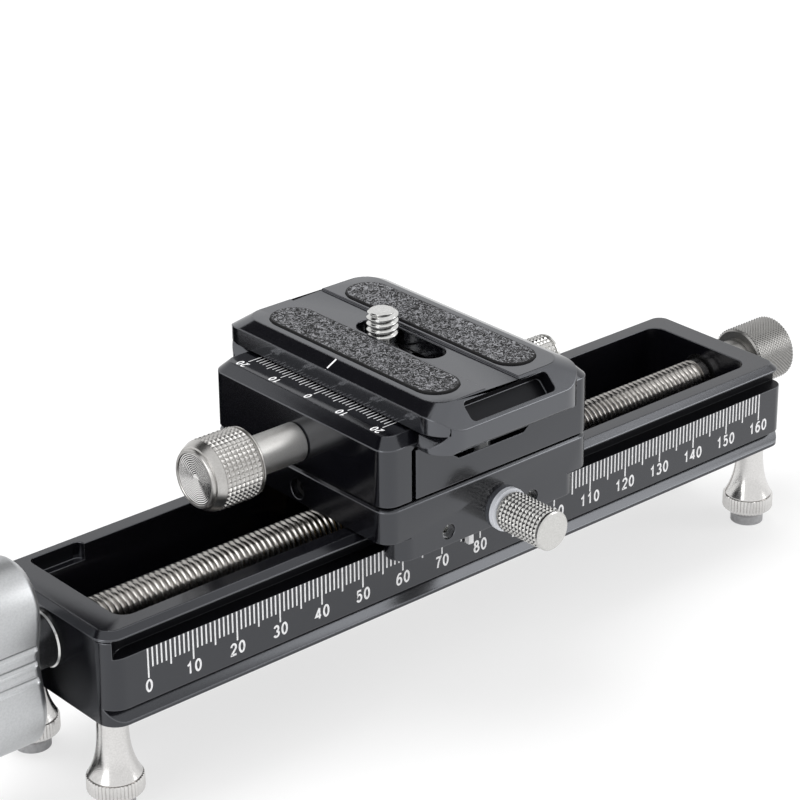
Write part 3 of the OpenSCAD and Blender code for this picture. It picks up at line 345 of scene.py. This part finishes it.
digits = {
    "0": [arc((0.28, 0.5), (0.21, 0.42), 90, 450, 26)],
    "1": [[(0.1, 0.73), (0.22, 0.79), (0.32, 0.92), (0.32, 0.08)]],
    "2": [arc((0.28, 0.68), (0.2, 0.24), 175, -35) + [(0.08, 0.1), (0.08, 0.08), (0.5, 0.08)]],
    "3": [arc((0.27, 0.71), (0.18, 0.21), 160, -90), arc((0.27, 0.29), (0.21, 0.21), 90, -160)],
    "4": [[(0.52, 0.3), (0.05, 0.3), (0.38, 0.92)], [(0.38, 0.92), (0.38, 0.08)]],
    "5": [[(0.46, 0.92), (0.15, 0.92), (0.1, 0.5)] + arc((0.27, 0.35), (0.21, 0.27), 140, -155)],
    "6": [arc((0.28, 0.34), (0.2, 0.26), 0, 360, 22), arc((0.33, 0.42), (0.25, 0.5), 186, 60)],
    "7": [[(0.06, 0.92), (0.5, 0.92), (0.3, 0.5), (0.22, 0.08)]],
    "8": [arc((0.28, 0.72), (0.17, 0.2), 0, 360, 20), arc((0.28, 0.29), (0.21, 0.22), 0, 360, 22)],
    "9": [arc((0.28, 0.66), (0.2, 0.26), 0, 360, 22), arc((0.23, 0.58), (0.25, 0.5), 6, -120)],
}


cell = {"advance": 0.72, "width": 0.56, "strokeLift": 0.003 * mm, "leastMitre": 0.45}  # strokes that cross lie apart


def numeral(bm, words, size, matrix):
    for place, key in enumerate(words):
        shift = (place - len(words) / 2) * cell["advance"] + (cell["advance"] - cell["width"]) / 2
        for stroke, path in enumerate(digits[key]):
            rise = Vector((0, 0, size["proud"] + stroke * cell["strokeLift"]))
            points = [Vector(((x + shift) * size["numeral"], (y - 1) * size["numeral"], 0)) for x, y in path]
            closed = (points[0] - points[-1]).length < 1e-6
            sides = ([], [])
            for i, point in enumerate(points):
                before, after = points[max(i - 1, 0)], points[min(i + 1, len(points) - 1)]
                if closed and i in (0, len(points) - 1):
                    before, after = points[-2], points[1]
                first, second = (point - before).normalized(), (after - point).normalized()
                along = (first + second).normalized()
                across = Vector((-along.y, along.x, 0))
                mitre = abs(across.dot(Vector((-first.y, first.x, 0)))) if first.length else 1.0
                reach = size["weight"] / 2 / max(cell["leastMitre"], mitre)
                for side, sign in zip(sides, (1, -1)):
                    side.append(bm.verts.new(matrix @ (point + across * reach * sign + rise)))
            edges = [bm.edges.new(pair) for side in sides for pair in zip(side, side[1:])]
            bmesh.ops.bridge_loops(bm, edges=edges)


def markLength(mark, size):  # every tenth mark is long, every fifth a little shorter
    return size["long"] if mark % 10 == 0 else size["half"] if mark % 5 == 0 else size["short"]


# Scales and the index line
railScale = {"zero": -0.0797, "face": -0.019, "top": 0.01388, "long": 0.00597, "half": 0.00501, "short": 0.00398,
             "width": 0.00033, "proud": 0.00002, "numeral": 0.00265, "numeralTop": 0.00765, "weight": 0.00043}
scale = bmesh.new()
for mark in range(161):
    x = railScale["zero"] + mark * mm
    deep = markLength(mark, railScale)
    strip(scale, (x - railScale["width"] / 2, railScale["face"] - railScale["proud"], railScale["top"] - deep),
          (x + railScale["width"] / 2, railScale["face"] + railScale["proud"], railScale["top"]))
frontFacing = Matrix(((1, 0, 0), (0, 0, -1), (0, 1, 0))).to_4x4()
for tens in range(0, 161, 10):
    spot = Vector((railScale["zero"] + tens * mm, railScale["face"], railScale["numeralTop"]))
    numeral(scale, str(tens), railScale, Matrix.Translation(spot) @ frontFacing)
finishPiece(scale, "railScale", "rail", "mark")

jawScale = {"inner": -0.0185, "long": 0.0034, "half": 0.0028, "short": 0.0022, "width": 0.00016, "proud": 0.00002,
            "numeral": 0.0019, "numeralTop": -0.0243, "weight": 0.0003}
clampMiddle = middle("carriage_block").x
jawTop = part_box("clamp_jaw")[1].z
scale = bmesh.new()
for mark in range(-20, 21):
    y, inner = mark * mm, clampMiddle + jawScale["inner"]
    deep = markLength(mark, jawScale)
    strip(scale, (inner - deep, y - jawScale["width"] / 2, jawTop - jawScale["proud"]),
          (inner, y + jawScale["width"] / 2, jawTop + jawScale["proud"]))
sideFacing = Matrix(((0, -1, 0), (1, 0, 0), (0, 0, 1))).to_4x4()
for tens in range(-20, 21, 10):
    spot = Vector((clampMiddle + jawScale["numeralTop"], tens * mm, jawTop))
    numeral(scale, str(abs(tens)), jawScale, Matrix.Translation(spot) @ sideFacing)
finishPiece(scale, "jawScale", "jaw", "mark")

plateLow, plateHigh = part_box("camera_plate")
plateMiddle = (plateLow + plateHigh) / 2
indexLine = {"width": 0.00036, "lift": 0.00003, "from": (-0.0162, 0.0), "to": (-0.0189, -0.0014)}
line = bmesh.new()
start = Vector((clampMiddle + indexLine["from"][0], 0, plateHigh.z + indexLine["from"][1]))
end = Vector((clampMiddle + indexLine["to"][0], 0, plateHigh.z + indexLine["to"][1]))
bmesh.ops.create_cube(line, size=1.0)
placed(line, turnTo(end - start, (start + end) / 2)
       @ Matrix.Diagonal(((end - start).length, indexLine["width"], 2 * indexLine["lift"], 1)))
finishPiece(line, "plateIndexLine", "plate", "mark")
print("scales marked")

# Threads
leadScrew = {"crest": 4.0 * mm, "root": 3.3 * mm, "pitch": 1.25 * mm, "steps": 32, "journal": 3.0 * mm,
             "plain": 3.9 * mm, "threadEnd": 2.6 * mm, "plainEnd": 0.3 * mm, "startGap": 0.05 * mm,
             "chamfer": 0.3 * mm}
low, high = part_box("lead_screw")
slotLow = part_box("left_bush")[1].x + leadScrew["startGap"]
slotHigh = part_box("right_bush")[0].x - leadScrew["threadEnd"]
axis = Vector((0, 0, middle("lead_screw").z))
thread = threaded(slotLow, slotHigh, leadScrew["crest"], leadScrew["root"], leadScrew["pitch"], leadScrew["steps"])
finishPiece(placed(thread, Matrix.Translation(axis)), "leadScrewThread", "drive", "screw",
            ["lead_screw"], 40)
slim, wide, cut = leadScrew["journal"], leadScrew["plain"], leadScrew["chamfer"]
plainEnd = slotHigh + leadScrew["threadEnd"] - leadScrew["plainEnd"]
ends = {"leadScrewLeft": [(low.x, 0), (low.x, slim - cut), (low.x + cut, slim), (slotLow, slim), (slotLow, 0)],
        "leadScrewRight": [(slotHigh, 0), (slotHigh, leadScrew["root"]), (slotHigh + cut, wide),
                           (plainEnd - cut, wide), (plainEnd, wide - cut), (plainEnd, slim), (high.x - cut, slim),
                           (high.x, slim - cut), (high.x, 0)]}
for name, profile in ends.items():
    finishPiece(placed(lathe(profile, 64), Matrix.Translation(axis)), name, "drive", "screw", (), 30)

cameraScrew = {"crest": 3.15 * mm, "root": 2.42 * mm, "pitch": 1.27 * mm, "steps": 48, "head": 6.8 * mm,
               "neck": 2.6 * mm, "headHigh": 2.2 * mm, "threadDown": 1.35 * mm, "tip": 0.55 * mm, "tipSlope": 1.1,
               "chamfer": 0.4 * mm}
low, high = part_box("camera_screw")
centre = (low + high) / 2
upward = turnTo((0, 0, 1), (centre.x, centre.y, 0))
threadLow = plateHigh.z - cameraScrew["threadDown"]
thread = threaded(threadLow, high.z, cameraScrew["crest"], cameraScrew["root"], cameraScrew["pitch"],
                  cameraScrew["steps"])
for vert in thread.verts:  # the thread's chamfered tip
    reach = math.hypot(vert.co.y, vert.co.z)
    limit = cameraScrew["crest"] - max(0.0, cameraScrew["tip"] - (high.z - vert.co.x)) * cameraScrew["tipSlope"]
    if reach > limit:
        vert.co.yz = vert.co.yz * (limit / reach)
finishPiece(placed(thread, upward), "cameraScrewThread", "camera_screw", "steel", ["camera_screw"], 40)
wide, slim, cut = cameraScrew["head"], cameraScrew["neck"], cameraScrew["chamfer"]
headTop = low.z + cameraScrew["headHigh"]
head = lathe([(low.z, 0), (low.z, wide - cut), (low.z + cut, wide), (headTop, wide), (headTop, slim),
              (threadLow, slim), (threadLow, 0)], 96)
finishPiece(placed(head, upward), "cameraScrewHead", "camera_screw", "steel", (), 30)
print("threads cut")

# Knobs. Their outlines are points in millimetres, along and across, from the head's start or end.
jawKnob = {"radius": 7.1 * mm, "count": 42, "rows": 8, "depth": 0.42 * mm, "grip": (2.7 * mm, 10.9 * mm),
           "head": 11.9 * mm, "neckStart": 0.1 * mm,
           "face": [(1.0, 0), (1.0, 5.02), (0.1, 5.05), (0, 5.15), (0, 5.6), (0.15, 5.75), (0.7, 5.78), (0.8, 6.15),
                    (1.0, 6.3), (2.3, 6.93), (2.5, 6.97), (2.62, 6.9), (2.68, 6.68)],
           "back": [(-0.97, 6.55), (-0.7, 6.55), (-0.65, 6.85), (-0.35, 6.85), (0, 6.5), (0, 4.4), (0.15, 4.02),
                    (0.5, 3.9)],
           "neckEnd": [(-0.25, 3.9), (0, 3.65), (0, 0)]}
low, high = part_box("jaw_knob")
gripStart, gripEnd = low.x + jawKnob["grip"][0], low.x + jawKnob["grip"][1]
headEnd = low.x + jawKnob["head"]
profile = outline(jawKnob["face"], low.x) + dense(gripStart, gripEnd, jawKnob["radius"], jawKnob["rows"] * 8)
profile += outline(jawKnob["back"], headEnd) + outline(jawKnob["neckEnd"], high.x)
knob = lathe(profile, jawKnob["count"] * 6, knurled(gripStart, gripEnd, jawKnob["radius"], jawKnob["count"],
                                                    jawKnob["rows"], jawKnob["depth"], 0))
for face in knob.faces:
    face.material_index = 1 if face.calc_center_median().x > headEnd + jawKnob["neckStart"] else 0
finishPiece(placed(knob, Matrix.Translation((0, 0, knobCentre.z))), "jawKnob", "jaw_drive",
            ["knob", "neck"], ["jaw_knob"], 24)

lockKnob = {"radius": 4.1 * mm, "count": 26, "rows": 11, "depth": 0.32 * mm, "length": 12.0 * mm,
            "grip": (0.6 * mm, 11.0 * mm), "stud": [(0, 0), (0, 1.75), (0.25, 2.0)],
            "back": [(0, 2.0), (0, 3.6), (0.58, 3.95)],
            "face": [(-0.97, 3.72), (-0.75, 3.72), (-0.7, 3.98), (-0.25, 3.98), (0, 3.72), (0, 0)]}
lockKnobs = {"carriage_lock_knob": ("carriageLockKnob", "carriage_lock", "lockKnob", (0, -1, 0)),
             "pan_lock_knob": ("panLockKnob", "pan_lock", "panKnob", (1, 0, 0))}
for node, (name, body, look, axisTo) in lockKnobs.items():
    low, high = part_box(node)
    centre = (low + high) / 2
    if body == "pan_lock":
        base = Vector((high.x - lockKnob["length"], centre.y, centre.z))
        stud = high.x - low.x - lockKnob["length"]
    else:
        base = Vector((centre.x, low.y + lockKnob["length"], centre.z))
        stud = high.y - low.y - lockKnob["length"]
    gripStart, gripEnd = lockKnob["grip"]
    profile = outline(lockKnob["stud"], -stud) + outline(lockKnob["back"], 0)
    profile += dense(gripStart, gripEnd, lockKnob["radius"], lockKnob["rows"] * 8)
    profile += outline(lockKnob["face"], lockKnob["length"])
    knob = lathe(profile, lockKnob["count"] * 8, knurled(gripStart, gripEnd, lockKnob["radius"], lockKnob["count"],
                                                         lockKnob["rows"], lockKnob["depth"], 0))
    finishPiece(placed(knob, turnTo(axisTo, base)), name, body, look, [node], 24)

endKnob = {"radius": 7.0 * mm, "count": 56, "rows": 12, "depth": 0.26 * mm, "grip": (5.05 * mm, 0.9 * mm),
           "hub": [(0, 0), (0, 4.6), (0.2, 4.8), (3.35, 4.8), (3.4, 4.55), (4.05, 4.55), (4.1, 4.8), (4.65, 4.8),
                   (4.65, 6.4), (5.0, 6.75)],
           "face": [(-0.85, 6.8), (-0.12, 6.15), (0, 5.95), (0, 5.2), (-0.25, 5.0), (-0.25, 0)]}
low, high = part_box("end_knob")
gripStart, gripEnd = low.x + endKnob["grip"][0], high.x - endKnob["grip"][1]
profile = outline(endKnob["hub"], low.x) + dense(gripStart, gripEnd, endKnob["radius"], endKnob["rows"] * 6)
profile += outline(endKnob["face"], high.x)
knob = lathe(profile, endKnob["count"] * 6, knurled(gripStart, gripEnd, endKnob["radius"], endKnob["count"],
                                                    endKnob["rows"], endKnob["depth"], 1))
finishPiece(placed(knob, Matrix.Translation(axis)), "endKnob", "drive", "endKnob", ["end_knob"], 24)
print("knobs turned")

# Feet, downward from the rail's underside in millimetres
foot = {"stud": 1.5, "studLong": 6.0, "neck": 2.9, "band": 5.4, "pad": 3.5, "height": 19.0, "padHigh": 1.9,
        "taper": 1.5, "bandHigh": 3.1, "flutes": 44, "fluteDeep": 0.26, "flare": 3.2, "steps": 14}
bandLow = foot["height"] - foot["padHigh"] - foot["taper"]
bandHigh = bandLow - foot["bandHigh"]
tread = bandLow + foot["taper"]
wide, slim = foot["band"], foot["neck"]


def flutes(along, angle, reach):
    if not (bandHigh + 0.04) * mm <= along <= (bandLow + 0.01) * mm:
        return 0.0
    return -foot["fluteDeep"] * mm * (1 - saw(angle * foot["flutes"] / math.tau))


footOutline = [(-foot["studLong"], 0), (-foot["studLong"], foot["stud"]), (0, foot["stud"]), (0.01, slim)]
for i in range(1, foot["steps"] + 1):
    part = i / foot["steps"]
    footOutline.append((part * (bandHigh - 0.3), slim + (wide - 0.35 - slim) * part ** foot["flare"]))
footOutline += [(bandHigh - 0.25, wide - 0.6), (bandHigh, wide - 0.55), (bandHigh + 0.05, wide - 0.08),
                (bandHigh + 0.25, wide), (bandLow - 0.25, wide), (bandLow, wide - 0.1), (bandLow + 0.3, wide - 0.5),
                (tread, foot["pad"] + 0.05), (tread, 0)]
for node in ("foot_front_left", "foot_front_right", "foot_back_left", "foot_back_right"):
    low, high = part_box(node)
    centre = (low + high) / 2
    name = "foot" + "".join(word.capitalize() for word in node.split("_")[1:])
    turnedFoot = lathe(outline(footOutline, 0), foot["flutes"] * 4, flutes)
    finishPiece(placed(turnedFoot, turnTo((0, 0, -1), (centre.x, centre.y, 0))), name, "rail", "foot",
                [node], 26)
print("feet turned")

# Bearings, each with the bright edge of its rim
bush = {"bore": 3.04 * mm, "outer": 4.6 * mm, "rim": 5.6 * mm, "rimThick": 1.2 * mm, "bright": 0.3 * mm}
for node, name, outward in (("left_bush", "leftBearing", -1), ("right_bush", "rightBearing", 1)):
    low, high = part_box(node)
    whole = high.x - low.x
    inner = whole - bush["rimThick"]
    ring = lathe([(0, bush["bore"]), (0, bush["outer"]), (inner, bush["outer"]), (inner, bush["rim"]),
                  (whole - bush["bright"], bush["rim"]), (whole, bush["rim"] - bush["bright"]),
                  (whole, bush["bore"]), (0, bush["bore"])], 96)
    for face in ring.faces:
        if whole - bush["bright"] < face.calc_center_median().x < whole:
            face.material_index = 1
    placed(ring, turnTo((outward, 0, 0), (high.x if outward < 0 else low.x, 0, axis.z)))
    finishPiece(ring, name, "rail", ["boss", "steel"], [node], 30)
print("bearings turned")

# Rail, carriage, clamp, plate and wheel. Their hollows' faces are sorted by place into a darker, duller finish,
# painted shade in the grooves and windows; the softened edges of the black bodies take a lighter finish, rubbed wear
# with a painted highlight.
edges = {"rail": 0.13 * mm, "block": 0.15 * mm, "clamp": 0.15 * mm, "plate": 0.16 * mm, "wheel": 0.5 * mm,
         "pad": 0.16 * mm}
groove = {"high": 1.45 * mm, "low": 4.8 * mm, "shallow": 0.2 * mm, "deep": 3.6 * mm, "corner": 3.1 * mm}
window = {"halfWide": 10.8 * mm, "slopeLong": 4.3 * mm, "slopeHigh": 4.2 * mm, "skin": 0.3 * mm, "deep": 3.3 * mm,
          "rim": 0.05 * mm}
# The last finish in each list, edge, goes on the softened edges: rubbed wear with a painted highlight.
railBody = edgedCopy("rail_frame", "railBody", "rail", ["recess", "rail", "edge"], edges["rail"])
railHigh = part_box("rail_frame")[1]
# Groove faces keep the painted shade finish and the rest take the rail's own finish; softened edges deep in the
# grooves swap their painted highlight for the painted shade.
for face in railBody.data.polygons:  # the guide grooves
    down, inward = railHigh.z - face.center.z, railHigh.y - abs(face.center.y)
    inside = groove["high"] < down < groove["low"] and groove["shallow"] < inward < groove["deep"]
    if face.material_index == 0 and not inside:
        face.material_index = 1
    if face.material_index == 2 and inside and inward > groove["corner"]:
        face.material_index = 0
edgedCopy("carriage_block", "carriageBody", "carriage", ["block", "edge"], edges["block"])
edgedCopy("clamp_body", "clampBody", "clamp", ["clamp", "edge"], edges["clamp"])
edgedCopy("clamp_jaw", "clampJaw", "jaw", ["clamp", "edge"], edges["clamp"])
camPlate = edgedCopy("camera_plate", "cameraPlate", "plate", ["recess", "plate", "edge"],
                     edges["plate"])
slopeSize = math.hypot(window["slopeLong"], window["slopeHigh"])
# Faces inside the end windows keep the painted shade finish; the rest take the plate's own finish.
for face in camPlate.data.polygons:  # the walls and floors of the two end windows
    spot = face.center
    inward = abs(spot.y - plateMiddle.y) - (plateHigh.y - plateMiddle.y - window["slopeLong"])
    depth = -(inward * window["slopeHigh"] + (spot.z - plateHigh.z) * window["slopeLong"]) / slopeSize
    within = abs(spot.x - plateMiddle.x) < window["halfWide"] and window["skin"] < depth < window["deep"]
    within = within and -window["slopeLong"] < inward < window["slopeLong"] - window["rim"]
    if face.material_index == 0 and not within:
        face.material_index = 1
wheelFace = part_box("drive_wheel")[0].x + 0.1 * mm  # the cap's seat leaves no room to soften that face's rim
edgedCopy("drive_wheel", "driveWheel", "drive", ["wheel"], edges["wheel"], 3, start=wheelFace)
edgedCopy("left_pad", "leftPad", "plate", ["leftPad"], edges["pad"])
edgedCopy("right_pad", "rightPad", "plate", ["rightPad"], edges["pad"])
print("bodies copied with soft edges")

# Solids that keep their CAD shape
keep = {"steel": ("tripod_insert", "gib_screws", "pan_post", "pan_nut", "channel_screws", "jaw_spring", "guide_pins",
                  "screw_washer"),
        "blackSteel": ("wheel_grub_screw", "end_knob_grub_screw", "nut_screws", "post_set_screw", "pan_screw"),
        "slide": ("pan_ring", "carriage_lock_shoe"), "nylon": ("carriage_lock_washer", "pan_lock_washer"),
        "gib": ("front_gib", "back_gib"), "bronze": ("drive_nut", "pan_lock_shoe"), "footRubber": ("foot_pads",),
        "boss": ("thrust_collar",), "wheel": ("wheel_cap",), "mark": ("index_pointer",), "disc": ("jaw_knob_disc",),
        "screw": ("jaw_screw",)}
for look, nodes in keep.items():
    for node in nodes:
        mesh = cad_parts[node].data
        mesh.materials.clear()
        mesh.materials.append(materials[look])
print("solids finished:", sum(len(nodes) for nodes in keep.values()))

# Studio
studio = {"floor": -0.01902, "half": 6.0, "world": 0.72, "white": 1.0, "glow": 0.66}  # metres, then strengths
world = bpy.data.worlds.new("studioWorld")
bpy.context.scene.world = world
world.use_nodes = True
tree = world.node_tree
lit, seen = tree.nodes["Background"], tree.nodes.new("ShaderNodeBackground")
lit.inputs[0].default_value, lit.inputs[1].default_value = (1, 1, 1, 1), studio["world"]
seen.inputs[0].default_value, seen.inputs[1].default_value = (1, 1, 1, 1), studio["white"]


def mirrorRays(tree):  # 1 for what the camera, a mirror or glass sees
    path = tree.nodes.new("ShaderNodeLightPath")
    total = path.outputs["Is Camera Ray"]
    for other in ("Is Glossy Ray", "Is Transmission Ray"):
        most = tree.nodes.new("ShaderNodeMath")
        most.operation = "MAXIMUM"
        tree.links.new(total, most.inputs[0])
        tree.links.new(path.outputs[other], most.inputs[1])
        total = most.outputs[0]
    return total


choose = tree.nodes.new("ShaderNodeMixShader")
tree.links.new(mirrorRays(tree), choose.inputs[0])
tree.links.new(lit.outputs[0], choose.inputs[1])
tree.links.new(seen.outputs[0], choose.inputs[2])
tree.links.new(choose.outputs[0], tree.nodes["World Output"].inputs[0])


def stagePiece(bm, name, finish):
    mesh = bpy.data.meshes.new(name)
    bm.to_mesh(mesh)
    bm.free()
    piece = bpy.data.objects.new(name, mesh)
    bpy.context.scene.collection.objects.link(piece)
    mesh.materials.append(finish.material)
    return piece


floorFinish = Finish("floorWhite")
floorFinish.set(Base_Color=(0.9, 0.9, 0.9, 1), Roughness=0.6)
glow = floorFinish.add("ShaderNodeEmission", {}, {"Color": (1, 1, 1, 1), "Strength": 1.0})
share = Wave(floorFinish, mirrorRays(floorFinish.tree)) * studio["glow"]
join = floorFinish.add("ShaderNodeMixShader", {}, {0: share, 1: floorFinish.shader.outputs[0], 2: glow.outputs[0]})
floorFinish.tree.links.new(join.outputs[0], floorFinish.tree.nodes["Material Output"].inputs[0])
sheet = bmesh.new()
bmesh.ops.create_grid(sheet, x_segments=1, y_segments=1, size=studio["half"],
                      matrix=Matrix.Translation((0, 0, studio["floor"])))
stagePiece(sheet, "floor", floorFinish)

# Black sheets that only mirrors see: part of a dome high behind the rail, and cards on the floor behind its left
dome = {"radius": 1.5, "from": 36.0, "behind": 0.4, "cardLift": 0.0002,
        "cards": {"blackCard": ((-0.112, 0.0), (0.012, 0.7)), "blackCardLeft": ((-0.7, -0.112), (0.0, 0.062))}}
blackFinish = Finish("sheetBlack")
blackFinish.set(Base_Color=(0.004, 0.004, 0.004, 1), Roughness=1.0, Specular_IOR_Level=0.0)
shell = bmesh.new()
bmesh.ops.create_uvsphere(shell, u_segments=64, v_segments=48, radius=dome["radius"])
cutHeight = dome["radius"] * math.sin(math.radians(dome["from"]))
for place, side in (((0, 0, cutHeight), (0, 0, -1)), ((0, dome["behind"], 0), (0, -1, 0))):
    bmesh.ops.bisect_plane(shell, geom=shell.verts[:] + shell.edges[:] + shell.faces[:], plane_co=place,
                           plane_no=side, clear_outer=True)
sheets = {"blackDome": shell}
for name, ((left, right), (front, back)) in dome["cards"].items():
    sheets[name] = bmesh.new()
    centre = ((left + right) / 2, (front + back) / 2, studio["floor"] + dome["cardLift"])
    bmesh.ops.create_grid(sheets[name], x_segments=1, y_segments=1, size=0.5,
                          matrix=Matrix.Translation(centre) @ Matrix.Diagonal((right - left, back - front, 1, 1)))
for name, sheet in sheets.items():
    hidden = stagePiece(sheet, name, blackFinish)
    hidden.visible_camera = False
    hidden.visible_diffuse = False
    hidden.visible_shadow = False


lamps = {"overhead": {"place": (-0.05, 0.25, 0.75), "size": (0.7, 0.5), "power": 6.0, "mirrored": False},
         "leftWindow": {"place": (-0.8, -0.15, 0.35), "size": (0.35, 0.6), "power": 1.8, "mirrored": True},
         "rightFill": {"place": (0.7, -0.6, 0.45), "size": (0.4, 0.5), "power": 2.0, "mirrored": True}}
target = Vector((0, 0, 0.02))
for name, lamp in lamps.items():
    light = bpy.data.lights.new(name, "AREA")
    light.shape, (light.size, light.size_y), light.energy = "RECTANGLE", lamp["size"], lamp["power"]
    holder = bpy.data.objects.new(name, light)
    bpy.context.scene.collection.objects.link(holder)
    holder.visible_glossy = lamp["mirrored"]
    place = Vector(lamp["place"])
    holder.matrix_world = Matrix.Translation(place) @ (target - place).to_track_quat("-Z", "Y").to_matrix().to_4x4()
print("studio lit")

# Camera, as solved from the scales in the photograph
view = {"azimuth": -40.82, "elevation": 24.93, "roll": -0.53, "lens": 125.11, "sensor": 36.0, "clip": (0.01, 50.0),
        "place": (-0.32545, -0.37258, 0.26104)}
turn, rise, roll = (math.radians(view[key]) for key in ("azimuth", "elevation", "roll"))
back = Vector((math.sin(turn) * math.cos(rise), -math.cos(turn) * math.cos(rise), math.sin(rise)))
right = Vector((math.cos(turn), math.sin(turn), 0))
up = back.cross(right)
tilted = right * math.cos(roll) + up * math.sin(roll)
upright = up * math.cos(roll) - right * math.sin(roll)
lensData = bpy.data.cameras.new("camera")
lensData.lens, lensData.sensor_width = view["lens"], view["sensor"]
lensData.clip_start, lensData.clip_end = view["clip"]
camera = bpy.data.objects.new("camera", lensData)
bpy.context.scene.collection.objects.link(camera)
camera.matrix_world = Matrix.Translation(view["place"]) @ Matrix((tilted, upright, back)).transposed().to_4x4()
bpy.context.scene.camera = camera
bpy.context.scene.view_settings.view_transform = "Standard"
print("camera placed")
